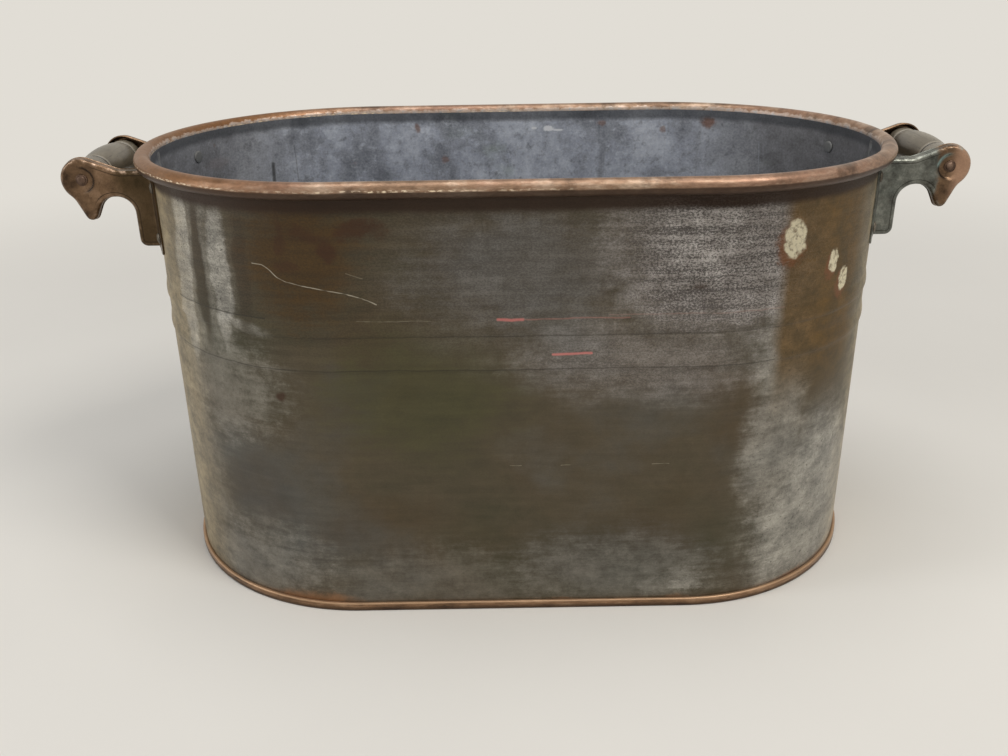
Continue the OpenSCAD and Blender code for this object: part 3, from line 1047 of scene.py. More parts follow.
def plain_mesh(piece: Piece, name: str) -> Piece:
    """Turns an object with modifiers into one plain mesh object.

    Args:
        piece: Object to turn; it is removed.
        name: Name of the new object.

    Returns:
        The new object.
    """
    evaluated = piece.evaluated_get(bpy.context.evaluated_depsgraph_get())
    mesh = bpy.data.meshes.new_from_object(evaluated)
    mesh.name = name
    result = bpy.data.objects.new(name, mesh)
    bpy.context.scene.collection.objects.link(result)
    discard(piece)
    return result


def join_pieces(name: str, pieces: Sequence[Piece]) -> Piece:
    """Joins mesh objects at the origin into one, keeping each one's materials.

    Args:
        name: Name of the joined piece.
        pieces: Objects to join; the first one stays.

    Returns:
        The joined object.
    """
    first = pieces[0]
    with bpy.context.temp_override(active_object=first, object=first, selected_editable_objects=list(pieces)):
        bpy.ops.object.join()
    first.name = first.data.name = name
    return first


def settle(piece: Piece, body: str, node: str | None = None) -> Piece:
    """Hides the node that a piece replaces, where it does, and puts the piece on its body.

    Args:
        piece: The piece.
        body: Body that it rides on.
        node: Node that it replaces, where it does.

    Returns:
        The same piece.
    """
    if node is not None:
        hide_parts(node)
    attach(piece, body)
    return piece


def grid_faces(rows: int, wide: int, closed: bool, first: int = 0) -> list[list[int]]:
    """Four-sided faces between rows of points.

    Args:
        rows: Number of rows.
        wide: Points in a row.
        closed: True where each row is a ring.
        first: Number of the first point.

    Returns:
        Point numbers of each face.
    """
    sides = [(start, (start + 1) % wide) for start in range(wide if closed else wide - 1)]
    lines = [first + row * wide for row in range(rows)]
    return [[low + a, low + b, high + b, high + a] for low, high in zip(lines, lines[1:]) for a, b in sides]


def turned(profile: Sequence[Point2], steps: int) -> tuple[np.ndarray, list[list[int]]]:
    """A profile turned about the Z axis.

    Args:
        profile: Radius and height of each point, from one pole to the other.
        steps: Steps in one turn.

    Returns:
        Points and faces of the closed shape.
    """
    angles = np.linspace(0, 2 * math.pi, steps, endpoint=False)
    points = np.array([(r * math.cos(a), r * math.sin(a), z) for r, z in profile for a in angles])
    return points, grid_faces(len(profile), steps, True)


def polyline(name: str, points: Sequence[Sequence[float]], closed: bool) -> Piece:
    """A curve of straight steps through points in millimetres.

    Args:
        name: Name of the curve.
        points: Points in order.
        closed: True where the last point joins the first.

    Returns:
        The curve object.
    """
    curve = bpy.data.curves.new(name, "CURVE")
    curve.dimensions = "3D"
    spline = curve.splines.new("POLY")
    spline.points.add(len(points) - 1)
    spline.points.foreach_set("co", [part for x, y, z in points for part in (x * MM, y * MM, z * MM, 1.0)])
    spline.use_cyclic_u = closed
    line = bpy.data.objects.new(name, curve)
    bpy.context.scene.collection.objects.link(line)
    return line


class NodeTool:
    """Geometry Nodes tree with named inputs, used through a modifier that is then made a plain mesh."""

    name = "node_tool"
    sockets: tuple[tuple[str, str, Any], ...] = ()

    def __init__(self) -> None:
        """Builds the tree once."""
        self.tree = bpy.data.node_groups.new(self.name, "GeometryNodeTree")
        self.tree.is_modifier = True
        face = self.tree.interface
        face.new_socket("Geometry", in_out="OUTPUT", socket_type="NodeSocketGeometry")
        face.new_socket("Geometry", in_out="INPUT", socket_type="NodeSocketGeometry")
        self.keys: dict[str, str] = {}
        for label, kind, default in self.sockets:
            socket = face.new_socket(label, in_out="INPUT", socket_type=kind)
            if default is not None:
                socket.default_value = default
            self.keys[label] = socket.identifier
        self.book = NodeBook(self.tree)
        self.given = self.book.add("NodeGroupInput").outputs
        self.wire()

    def wire(self) -> None:
        """Adds the tree's nodes."""
        raise NotImplementedError

    def shape(self, label: str) -> Socket:
        """Geometry of the object that a named input gives."""
        inputs = {"Object": self.given[label]}
        return self.book.add("GeometryNodeObjectInfo", inputs, transform_space="ORIGINAL").outputs["Geometry"]

    def end(self, geometry: Socket) -> None:
        """Ends the tree with real geometry and its material.

        Args:
            geometry: What the tree has made.
        """
        real = self.book.add("GeometryNodeRealizeInstances", {0: geometry}).outputs[0]
        inputs = {"Geometry": real, "Material": self.given["Finish"]}
        self.book.add("NodeGroupOutput", {0: self.book.add("GeometryNodeSetMaterial", inputs).outputs[0]})

    def run(self, piece: Piece, name: str, values: Mapping[str, Any]) -> Piece:
        """Runs the tree on an object.

        Args:
            piece: Object that the tree starts from; it is used up.
            name: Name of the result.
            values: Values of the named inputs.

        Returns:
            The result as a plain mesh object.
        """
        modifier = piece.modifiers.new(self.name, "NODES")
        modifier.node_group = self.tree
        for label, value in values.items():
            modifier[self.keys[label]] = value
        return plain_mesh(piece, name)


class SweepTool(NodeTool):
    """Carries a profile along a path and gives the sheet its slow dents.

    The profile's X goes out to the right of the path and its Y goes down. Levels are in metres.
    """

    name = "sweep_along_path"
    sockets = (
        ("Profile", "NodeSocketObject", None),
        ("Dent Depth", "NodeSocketFloat", 0.0),
        ("Dent Scale", "NodeSocketFloat", 9.0),
        ("Dents From", "NodeSocketFloat", 0.02),
        ("Dents To", "NodeSocketFloat", 0.3),
        ("Seed", "NodeSocketFloat", 3.0),
        ("Finish", "NodeSocketMaterial", None),
    )
    foot_level, rim_level = 0.008, 0.314
    ear_reach, ear_rise = (0.215, 0.255), (0.225, 0.252)

    def wire(self) -> None:
        """Adds the sweep, and the dents that fade out at foot, rim and ears."""
        book, given = self.book, self.given
        upright = book.add("GeometryNodeSetCurveNormal", {0: given["Geometry"]}, mode="Z_UP")
        capture = book.add("GeometryNodeCaptureAttribute", {0: upright.outputs[0]}, domain="POINT")
        capture.capture_items.new("VECTOR", "Out")
        book.tree.links.new(book.add("GeometryNodeInputNormal").outputs[0], capture.inputs[1])
        inputs = {"Curve": capture.outputs[0], "Profile Curve": self.shape("Profile"), "Fill Caps": True}
        swept = book.add("GeometryNodeCurveToMesh", inputs).outputs[0]
        place = book.add("GeometryNodeInputPosition").outputs[0]
        x, _, z = book.add("ShaderNodeSeparateXYZ", {0: place}).outputs
        inputs = {"Vector": place, "W": given["Seed"], "Scale": given["Dent Scale"], "Detail": 1.0}
        waves = book.add("ShaderNodeTexNoise", inputs, noise_dimensions="4D").outputs[0]
        above = book.band(z, self.foot_level, given["Dents From"])
        below = book.band(z, given["Dents To"], self.rim_level, 1.0, 0.0)
        ears = book.times(book.band(book.math("ABSOLUTE", x), *self.ear_reach), book.band(z, *self.ear_rise))
        weight = book.times(book.times(above, below), book.math("SUBTRACT", 1.0, ears))
        push = book.times(book.times(book.math("SUBTRACT", waves, 0.5), given["Dent Depth"]), weight)
        inputs = {"Geometry": swept, "Offset": book.scaled(capture.outputs[1], push)}
        self.end(book.add("GeometryNodeSetPosition", inputs).outputs[0])


class FastenerTool(NodeTool):
    """Sets a fastener at each point, turned to the point's axis and each at its own angle."""

    name = "set_fasteners"
    sockets = (
        ("Fastener", "NodeSocketObject", None),
        ("Seed", "NodeSocketInt", 7),
        ("Finish", "NodeSocketMaterial", None),
    )

    def wire(self) -> None:
        """Adds the placing of the fasteners."""
        book, given = self.book, self.given
        named = book.add("GeometryNodeInputNamedAttribute", {"Name": "axis"}, data_type="FLOAT_VECTOR")
        inputs = {"Vector": named.outputs[0]}
        aimed = book.add("FunctionNodeAlignRotationToVector", inputs, axis="Z").outputs[0]
        inputs = {2: 0.0, 3: 2 * math.pi, "Seed": given["Seed"]}
        turn = book.add("FunctionNodeRandomValue", inputs, data_type="FLOAT").outputs[1]
        spun = book.add("FunctionNodeAxisAngleToRotation", {"Axis": (0, 0, 1), "Angle": turn}).outputs[0]
        both = book.add("FunctionNodeRotateRotation", {0: aimed, 1: spun}, rotation_space="LOCAL").outputs[0]
        inputs = {"Points": given["Geometry"], "Instance": self.shape("Fastener"), "Rotation": both}
        self.end(book.add("GeometryNodeInstanceOnPoints", inputs).outputs[0])

    def at(self, name: str, spots: Sequence[tuple[Vector, Vector]], fastener: Piece, seed: int,
           finish: Material) -> Piece:
        """Sets one kind of fastener.

        Args:
            name: Name of the piece.
            spots: Place and axis of each fastener, in millimetres.
            fastener: Object to repeat, along its own Z axis.
            seed: Number that fixes the random turns.
            finish: Material.

        Returns:
            The fasteners as one plain mesh object.
        """
        holder = make_piece(name + "_spots", [place[:] for place, _ in spots], [])
        axes = holder.data.attributes.new("axis", "FLOAT_VECTOR", "POINT")
        axes.data.foreach_set("vector", [part for _, axis in spots for part in axis])
        return self.run(holder, name, {"Fastener": fastener, "Seed": seed, "Finish": finish})


@dataclass(frozen=True)
class TubPlan:
    """Plan of the wall: two round ends joined by straight runs. A run is measured from the front's middle."""

    wall_r: float = 154.0
    half_run: float = 123.0
    lock_shift: float = 6.0

    @property
    def end_run(self) -> float:
        """Length of the wall round one end."""
        return math.pi * self.wall_r

    @property
    def whole_run(self) -> float:
        """Length of the wall all round."""
        return 4 * self.half_run + 2 * self.end_run

    @property
    def lock_run(self) -> float:
        """Run of the right lock seam; the left one mirrors it."""
        return self.half_run + self.wall_r * (math.pi / 2 - math.asin(self.lock_shift / self.wall_r))

    def at(self, run: float) -> tuple[Vector, Vector]:
        """A point on the outside of the wall.

        Args:
            run: Distance round the wall to the right from the front's middle.

        Returns:
            The point at floor level, and the direction straight out of the tub there.
        """
        run = run % self.whole_run
        if run > self.whole_run - self.half_run:
            run -= self.whole_run
        if run <= self.half_run:
            return Vector((run, -self.wall_r, 0)), Vector((0, -1, 0))
        run -= self.half_run
        if run <= self.end_run:
            out = Vector((math.sin(run / self.wall_r), -math.cos(run / self.wall_r), 0))
            return Vector((self.half_run, 0, 0)) + out * self.wall_r, out
        run -= self.end_run
        if run <= 2 * self.half_run:
            return Vector((self.half_run - run, self.wall_r, 0)), Vector((0, 1, 0))
        run -= 2 * self.half_run
        out = Vector((-math.sin(run / self.wall_r), math.cos(run / self.wall_r), 0))
        return Vector((-self.half_run, 0, 0)) + out * self.wall_r, out

    def track(self, start: float, end: float, step: float = 5.0) -> list[Vector]:
        """Points along the wall, with one at each place where an end starts.

        Args:
            start: First run.
            end: Last run.
            step: Greatest distance between points.

        Returns:
            The points at floor level.
        """
        turns = [k * self.whole_run + side * self.half_run + half * (self.end_run + 2 * self.half_run)
                 for k in (-1, 0, 1) for half in (0, 1) for side in (-1, 1)]
        stops = sorted({start, end, *(turn for turn in turns if start < turn < end)})
        runs: list[float] = []
        for low, high in zip(stops, stops[1:]):
            count = max(1, math.ceil((high - low) / step))
            runs += [low + (high - low) * i / count for i in range(count)]
        return [self.at(run)[0] for run in [*runs, end]]

    def unroll(self, points: np.ndarray) -> tuple[np.ndarray, np.ndarray]:
        """Run round the wall and distance out from its outside, of points in millimetres.

        Args:
            points: Rows of X, Y and Z.

        Returns:
            The runs, from 0 to the whole length, and the distances out.
        """
        x, y = points[:, 0], points[:, 1]
        along = np.clip(x, -self.half_run, self.half_run)
        angle = np.arctan2(y, x - along)
        right = self.half_run + (angle + math.pi / 2) * self.wall_r
        left = 3 * self.half_run + self.end_run + (np.mod(angle, 2 * math.pi) - math.pi / 2) * self.wall_r
        rear = 2 * self.half_run + self.end_run - x
        straight = np.where(y > 0, rear, np.mod(x, self.whole_run))
        run = np.where(x > self.half_run, right, np.where(x < -self.half_run, left, straight))
        return run, np.hypot(x - along, y) - self.wall_r


@dataclass
class TubBody:
    """Two half sheets with wired rim and lock seams, and the bottom seamed to them."""

    plan: TubPlan
    sweep: SweepTool
    finishes: Mapping[str, Material]
    sheet_t: float = 0.8
    height: float = 330.0
    curl_r: float = 5.9
    bead_zs: tuple[float, ...] = (228.0, 202.5)
    bead_h: float = 12.5
    bead_rise: float = 1.1
    foot_z: float = 0.9
    seam_h: float = 6.7
    seam_out: float = 2.7
    lock_w: float = 9.6
    lock_t: float = 2.7
    lock_zs: Point2 = (8.2, 316.7)
    solder_zs: Point2 = (3.0, 322.0)
    pool_z: float = 296.0
    dent: float = 1.6
    pieces: list[Piece] = field(default_factory=list)

    def bead(self, z: float) -> float:
        """How far the beads push the sheet out.

        Args:
            z: Height.

        Returns:
            The distance.
        """
        for middle in self.bead_zs:
            share = (z - middle) / self.bead_h + 0.5
            if 0 < share < 1:
                return self.bead_rise * math.sin(math.pi * share ** 0.62)
        return 0.0

    def sheet_profile(self) -> list[Point2]:
        """Section of a half sheet, from the foot over the rim and back.

        Returns:
            Distance out from the wall's outside and height of each point.
        """
        zs = list(np.arange(self.foot_z, self.height - 2 * self.curl_r, 4.0))
        for middle in self.bead_zs:
            zs += list(np.linspace(middle - self.bead_h / 2, middle + self.bead_h / 2, 19))
        zs = sorted(set(round(float(z), 3) for z in zs))
        curl_x, curl_z = self.curl_r - self.sheet_t, self.height - self.curl_r
        outside = [(self.bead(z), z) for z in zs]
        meet = math.degrees(math.asin(math.sqrt(1 - (curl_x / self.curl_r) ** 2)))
        turn = [math.radians(a) for a in np.linspace(180 + meet, 540, 34)]
        curl = [(curl_x + self.curl_r * math.cos(a), curl_z + self.curl_r * math.sin(a)) for a in turn]
        inside = [(self.bead(z) - self.sheet_t, z) for z in reversed(zs)]
        return outside + curl + inside

    def carry(self, name: str, path: Sequence[Vector], profile: Sequence[Point2], closed: bool,
              finish: str, dent: float = 0.0) -> Piece:
        """Carries a section along a path.

        Args:
            name: Name of the piece.
            path: Points of the path, in millimetres.
            profile: Section, out and up.
            closed: True where the path is a ring.
            finish: Name of the finish.
            dent: Depth of the dents.

        Returns:
            The piece, with its faces outwards.
        """
        section = polyline(name + "_section", [(x, -z, 0) for x, z in profile], True)
        line = polyline(name + "_path", [point[:] for point in path], closed)
        values = {"Profile": section, "Dent Depth": dent * MM, "Finish": self.finishes[finish]}
        piece = self.sweep.run(line, name, values)
        discard(section)
        face_outwards(piece)
        shade_smooth(piece)
        return piece

    def unroll(self, piece: Piece, face: Face) -> None:
        """Writes a sheet's UV map in metres and how far out each point lies, and sorts its faces by finish.

        Args:
            piece: The sheet.
            face: Which half it is.
        """
        mesh = piece.data
        points = np.empty(len(mesh.vertices) * 3)
        mesh.vertices.foreach_get("co", points)
        points = points.reshape(-1, 3) / MM
        run, out = self.plan.unroll(points)
        if face is Face.FRONT:
            run = np.where(run > self.plan.whole_run / 2, run - self.plan.whole_run, run)
        mesh.attributes.new("out", "FLOAT", "POINT").data.foreach_set("value", out.astype(np.float32))
        corners = np.empty(len(mesh.loops), dtype=np.int32)
        mesh.loops.foreach_get("vertex_index", corners)
        flat = np.stack([run[corners], points[corners, 2]], axis=1) * MM
        mesh.uv_layers.new(name="UVMap").data.foreach_set("uv", flat.ravel().astype(np.float32))
        inside_slot, rim_slot = 1, 2
        mesh.materials.append(self.finishes["inside"])
        mesh.materials.append(self.finishes["rim"])
        rim_low = self.height - 2 * self.curl_r
        for polygon in mesh.polygons:
            ring = list(polygon.vertices)
            x, y, z = points[ring].mean(axis=0)
            outwards = Vector((x - np.clip(x, -self.plan.half_run, self.plan.half_run), y, 0))
            if z > rim_low and (out[ring].mean() > 0.2 or z > self.height - self.curl_r):
                polygon.material_index = rim_slot
            elif polygon.normal.dot(outwards) < 0:
                polygon.material_index = inside_slot

    def build_sheets(self) -> None:
        """Makes the two half sheets with their rims."""
        lock = self.plan.lock_run
        halves = {Face.FRONT: (-lock, lock), Face.REAR: (lock, self.plan.whole_run - lock)}
        for face, (start, end) in halves.items():
            node = f"{face.name.lower()}_sheet"
            path = self.plan.track(start, end)
            piece = self.carry(node + "_skin", path, self.sheet_profile(), False, face.name, self.dent)
            self.unroll(piece, face)
            self.pieces.append(settle(piece, "tub", node))

    def build_locks(self) -> None:
        """Makes the folded strip of each lock seam and the run of solder behind it."""
        for side in Side:
            run = self.plan.lock_run * side.value
            spot, out = self.plan.at(run)
            zs = np.linspace(*self.lock_zs, 60)
            half, tall = self.lock_w / 2, self.lock_t
            across = Vector((-out.y, out.x, 0))
            edge = [(half, -0.3), (half, tall - 0.7), (half - 0.3, tall - 0.2), (half - 0.9, tall)]
            rows = [(-a, h) for a, h in edge] + [(0, tall)] + edge[::-1]
            points = []
            for i, z in enumerate(zs):
                wave = 0.12 * math.sin(z * 0.11 + side.value) + 0.1 * math.sin(z * 0.043)
                end_drop = 0.8 if i in (0, len(zs) - 1) else 0.0
                for a, h in rows:
                    rise = h - end_drop * (h > 0) + 0.08 * math.sin(z * 0.2 + a)
                    place = spot + across * (a + wave) + out * rise
                    points.append((place.x, place.y, z))
            wide = len(rows)
            faces = grid_faces(len(zs), wide, True)
            faces += [list(range(wide)), list(range((len(zs) - 1) * wide, len(zs) * wide))]
            name = side.name.lower()
            strip = make_piece(f"{name}_lock_seam", points, faces, self.finishes[Face.FRONT.name])
            face_outwards(strip)
            shade_smooth(strip)
            self.unroll_strip(strip, run)
            self.pieces.append(settle(strip, "tub"))
            self.build_solder(name, spot, out)

    def unroll_strip(self, strip: Piece, run: float) -> None:
        """Writes a lock seam's UV map in metres.

        Args:
            strip: The seam.
            run: Its run round the wall.
        """
        layer = strip.data.uv_layers.new(name="UVMap").data
        for loop in strip.data.loops:
            place = strip.data.vertices[loop.vertex_index].co
            layer[loop.index].uv = (run * MM + place.y, place.z)

    def build_solder(self, name: str, spot: Vector, out: Vector) -> None:
        """Makes the lumpy run of solder along the inside of a lock seam.

        Args:
            name: Name of the tub's end.
            spot: Point of the seam on the outside of the wall.
            out: Direction out of the tub there.
        """
        across = Vector((-out.y, out.x, 0))
        zs = np.linspace(*self.solder_zs, 110)
        points = []
        steps = 7
        for z in zs:
            lump = 0.5 + 0.25 * math.sin(z * 0.23) + 0.22 * math.sin(z * 0.61 + 1.3)
            lump += 0.3 * math.sin(z * 0.07 + 2)
            width = 2.2 + 1.1 * lump + (2.4 if z > self.pool_z else 0.0) * (0.6 + 0.4 * math.sin(z * 0.5))
            rise = 0.45 + 0.35 * max(0.0, lump)
            drift = 0.7 * math.sin(z * 0.09)
            for j in range(steps):
                share = 2 * j / (steps - 1) - 1
                deep = self.sheet_t - 0.15 + rise * (1 - share * share)
                place = spot + across * (drift + share * width) - out * deep
                points.append((place.x, place.y, z))
        faces = grid_faces(len(zs), steps, False)
        lows = range(0, (len(zs) - 1) * steps, steps)
        faces += [[low, low + steps, low + 2 * steps - 1, low + steps - 1] for low in lows]
        faces += [list(range(steps)), list(range((len(zs) - 1) * steps, len(zs) * steps))]
        run = make_piece(f"{name}_seam_solder", points, faces, self.finishes["solder"])
        face_outwards(run)
        shade_smooth(run, 60)
        self.pieces.append(settle(run, "tub"))

    def build_bottom(self) -> None:
        """Makes the floor and the double seam round the foot."""
        out, top = self.seam_out, self.seam_h
        profile = [(-0.4, 0.8), (-0.4, 0.0), (out - 1.2, 0.0), (out - 0.5, 0.15), (out - 0.12, 0.6),
                   (out, 1.2), (out, 2.5), (out - 0.12, 2.8), (out - 0.3, 2.95), (out - 0.12, 3.1),
                   (out - 0.02, 3.4),
                   (out - 0.02, top - 1.1), (out - 0.12, top - 0.5), (out - 0.5, top - 0.1), (out - 1.0, top),
                   (0.6, top), (0.25, top - 0.15), (0.12, top - 0.5), (0.1, 1.6)]
        ring = self.plan.track(0.0, self.plan.whole_run)[:-1]
        seam = self.carry("foot_seam", ring, profile, True, "foot")
        rows, wide = 16, 160
        runs = np.linspace(0, self.plan.whole_run, wide, endpoint=False)
        border = [self.plan.at(run)[0] for run in runs]
        spine = [Vector((max(-self.plan.half_run, min(self.plan.half_run, p.x)), 0, 0)) for p in border]
        points: list[Point3] = []
        for level in (0, 1):
            for row in range(rows + 1):
                share = row / rows
                for rim, mid in zip(border, spine):
                    place = mid.lerp(rim, share * 0.9985)
                    wave = math.sin(place.x * 0.021 + 0.6) * math.cos(place.y * 0.034 - 0.4)
                    wave += 0.6 * math.sin(place.y * 0.05)
                    lift = 0.35 * (wave + 1.6) * (1 - share ** 4) if level else 0.0
                    points.append((place.x, place.y, self.sheet_t * level + lift))
        faces = []
        for level in (0, 1):
            faces += grid_faces(rows + 1, wide, True, level * (rows + 1) * wide)
        low, high = rows * wide, (2 * rows + 1) * wide
        faces += [[low + j, low + (j + 1) % wide, high + (j + 1) % wide, high + j] for j in range(wide)]
        floor = make_piece("tub_floor", points, faces, self.finishes["inside"], self.finishes["foot"])
        face_outwards(floor, 1e-5)
        layer = floor.data.uv_layers.new(name="UVMap").data
        for loop in floor.data.loops:
            place = floor.data.vertices[loop.vertex_index].co
            layer[loop.index].uv = (place.x + 4.0, place.y + 2.0)
        for polygon in floor.data.polygons:
            polygon.material_index = 0 if polygon.normal.z > 0.3 else 1
        shade_smooth(floor)
        seam.data.uv_layers.new(name="UVMap")
        piece = join_pieces("bottom_pan_skin", [seam, floor])
        self.pieces.append(settle(piece, "tub", "bottom_pan"))

    def build(self) -> list[Piece]:
        """Makes all pieces of the body.

        Returns:
            The pieces.
        """
        self.build_sheets()
        self.build_locks()
        self.build_bottom()
        return self.pieces


@dataclass
class EarSet:
    """Four stamped ears: a rounded cup with a dished head, a beak and a flange on the wall."""

    plan: TubPlan
    finishes: Mapping[EarLook, Material]
    tinned: tuple[Side, Face] = (Side.RIGHT, Face.FRONT)
    axis_x: float = 320.5
    axis_z: float = 310.6
    face_y: float = 52.0
    depth: float = 7.0
    sheet_t: float = 1.2
    bend_r: float = 3.0
    head_r: float = 15.5
    arm: Point2 = (-12.9, 6.5)
    root: float = -69.0
    foot_x: float = -36.05
    foot_low: float = -50.9
    foot_r: float = 5.5
    beak_lean: float = -2.9
    beak_root: Point2 = (-8.0, 12.0)
    beak_tip: Point2 = (-25.8, 4.5)
    notch_r: float = 12.0
    shoulder: float = -27.0
    seat_r: float = 154.1
    fillet_r: float = 2.5
    flange_low: float = -53.9
    flange_a: float = 25.8
    flange_r: float = 4.0
    dish_r: float = 9.6
    dish_floor_r: float = 6.4
    dish_depth: float = 2.0
    hole_r: float = 2.5
    dish_rings: tuple[float, ...] = (3.4, 4.6, 5.6, 6.4, 7.0, 7.6, 8.2, 8.8, 9.4, 10.0, 10.6, 11.2, 12.0)
    pieces: list[Piece] = field(default_factory=list)

    def solid_distance(self, a: np.ndarray, b: np.ndarray) -> np.ndarray:
        """Distance from head, arm, foot and beak, before the corners are filleted.

        Args:
            a: Places out from the grip's axis.
            b: Places up from the grip's axis.

        Returns:
            The distances, negative inside.
        """

        def box(low: Point2, high: Point2, corner: float) -> np.ndarray:
            """Distance from a box with rounded corners.

            Args:
                low: Lower corner.
                high: Upper corner.
                corner: Radius of the corners.

            Returns:
                The distances, negative inside.
            """
            da = np.abs(a - (low[0] + high[0]) / 2) - (high[0] - low[0]) / 2 + corner
            db = np.abs(b - (low[1] + high[1]) / 2) - (high[1] - low[1]) / 2 + corner
            return np.hypot(np.maximum(da, 0), np.maximum(db, 0)) + np.minimum(np.maximum(da, db), 0) - corner

        head = np.hypot(a, b) - self.head_r
        arm = box((self.root, self.arm[0]), (0.0, self.arm[1]), 0.0)
        foot = box((self.root, self.foot_low), (self.foot_x, self.arm[1]), self.foot_r)
        (top, wide), (low, slim) = self.beak_root, self.beak_tip
        across, drop, tall = np.abs(a - self.beak_lean), top - b, top - low
        slope = (wide - slim) / tall
        lean = math.sqrt(1 - slope * slope)
        along = across * -slope + drop * lean
        beak = np.where(along < 0, np.hypot(across, drop) - wide,
                        np.where(along > lean * tall, np.hypot(across, drop - tall) - slim,
                                 across * lean + drop * slope - wide))
        start = np.array([self.shoulder, self.arm[1]])
        turn = math.atan2(start[1], start[0]) - math.acos(self.head_r / math.hypot(*start))
        way = self.head_r * np.array([math.cos(turn), math.sin(turn)]) - start
        share = np.clip(((a - start[0]) * way[0] + (b - start[1]) * way[1]) / (way @ way), 0, 1)
        shoulder = np.hypot(a - start[0] - share * way[0], b - start[1] - share * way[1])
        return np.minimum(np.minimum(np.minimum(head, arm), np.minimum(foot, beak)), shoulder)

    def crossings(self, values: np.ndarray, a: np.ndarray, b: np.ndarray, level: float) -> np.ndarray:
        """Points where a field on a grid takes a value.

        Args:
            values: Field, rows along b and columns along a.
            a: Column places.
            b: Row places.
            level: The value.

        Returns:
            Unordered rows of a and b.
        """
        v = values - level
        rows, cols = np.nonzero(v[:, :-1] * v[:, 1:] < 0)
        share = v[rows, cols] / (v[rows, cols] - v[rows, cols + 1])
        across = np.stack([a[cols] + share * (a[cols + 1] - a[cols]), b[rows]], axis=1)
        rows, cols = np.nonzero(v[:-1] * v[1:] < 0)
        share = v[rows, cols] / (v[rows, cols] - v[rows + 1, cols])
        upwards = np.stack([a[cols], b[rows] + share * (b[rows + 1] - b[rows])], axis=1)
        return np.concatenate([across, upwards])

    def inset(self, places: np.ndarray, ring: np.ndarray) -> np.ndarray:
        """How far inside the filleted outline points lie.

        Args:
            places: Rows of a and b.
            ring: Points that lie a fillet's radius outside the outline.

        Returns:
            The distances, negative outside.
        """
        gaps = places[:, None] - ring[None]
        away = np.hypot(gaps[..., 0], gaps[..., 1]).min(axis=1)
        beyond = self.solid_distance(places[:, 0], places[:, 1]) > self.notch_r
        return np.where(beyond, -away, away) - self.notch_r

    def outline(self, cut: float) -> tuple[np.ndarray, np.ndarray, np.ndarray]:
        """Outline of the ear's face, with fillets in its inner corners.

        Args:
            cut: Where the outline is cut off towards the wall.

        Returns:
            Points from the arm's top at the wall round the head to the foot, the directions inwards
            there, and the ring that measures the inset.
        """
        a, b = np.arange(-84.13, 34, 0.5), np.arange(-70.17, 34, 0.5)
        grid_a, grid_b = np.meshgrid(a, b)
        ring = self.crossings(self.solid_distance(grid_a, grid_b), a, b, self.notch_r)
        depth = np.concatenate([self.inset(np.stack([a, np.full_like(a, row)], axis=1), ring) for row in b])
        loose = self.crossings(depth.reshape(len(b), len(a)), a, b, 0.0)
        loose = loose[loose[:, 0] > cut - 1.0]
        order = [int(np.argmin(np.hypot(loose[:, 0] - cut, loose[:, 1] - self.arm[1])))]
        left = set(range(len(loose))) - set(order)
        while left:
            here = loose[order[-1]]
            rest = np.fromiter(left, dtype=int)
            gaps = np.hypot(*(loose[rest] - here).T)
            nearest = int(np.argmin(gaps))
            if gaps[nearest] > 3.0:
                break
            order.append(int(rest[nearest]))
            left.remove(order[-1])
        line = loose[order]
        line = line[line[:, 0] >= cut]
        line = np.concatenate([[(cut, self.arm[1])], line, [(cut, self.foot_low)]])
        steps = np.concatenate([[0], np.cumsum(np.hypot(*np.diff(line, axis=0).T))])
        even = np.linspace(0, steps[-1], 230)
        line = np.stack([np.interp(even, steps, line[:, 0]), np.interp(even, steps, line[:, 1])], axis=1)
        for _ in range(2):
            line[1:-1] = 0.5 * line[1:-1] + 0.25 * (line[:-2] + line[2:])
        way = np.gradient(line, axis=0)
        way /= np.hypot(way[:, 0], way[:, 1])[:, None]
        return line, np.stack([way[:, 1], -way[:, 0]], axis=1), ring

    def sink(self, a: float, b: float) -> float:
        """Depth of the dish behind the face, deeper and crisper towards the tub.

        Args:
            a: Place out from the grip's axis.
            b: Place up from the grip's axis.

        Returns:
            The depth.
        """
        tubwards = 1 / (1 + math.exp((a + 1.0) / 1.2))
        edge = self.dish_r + 2.2 * (1 - tubwards)
        low = self.dish_floor_r + 1.9 * tubwards
        share = min(1.0, max(0.0, (edge - math.hypot(a, b)) / (edge - low)))
        return self.dish_depth * share * share * (3 - 2 * share)

    def crease(self, a: float, depth: float, b: float) -> float:
        """How near a point is to the crease along the dish's tubward edge, 0 to 1."""
        near = math.exp(-((math.hypot(a, b) - self.dish_r + 0.6) / 1.2) ** 2)
        return near / (1 + math.exp((a + 2.0) / 1.2)) if depth < self.bend_r else 0.0

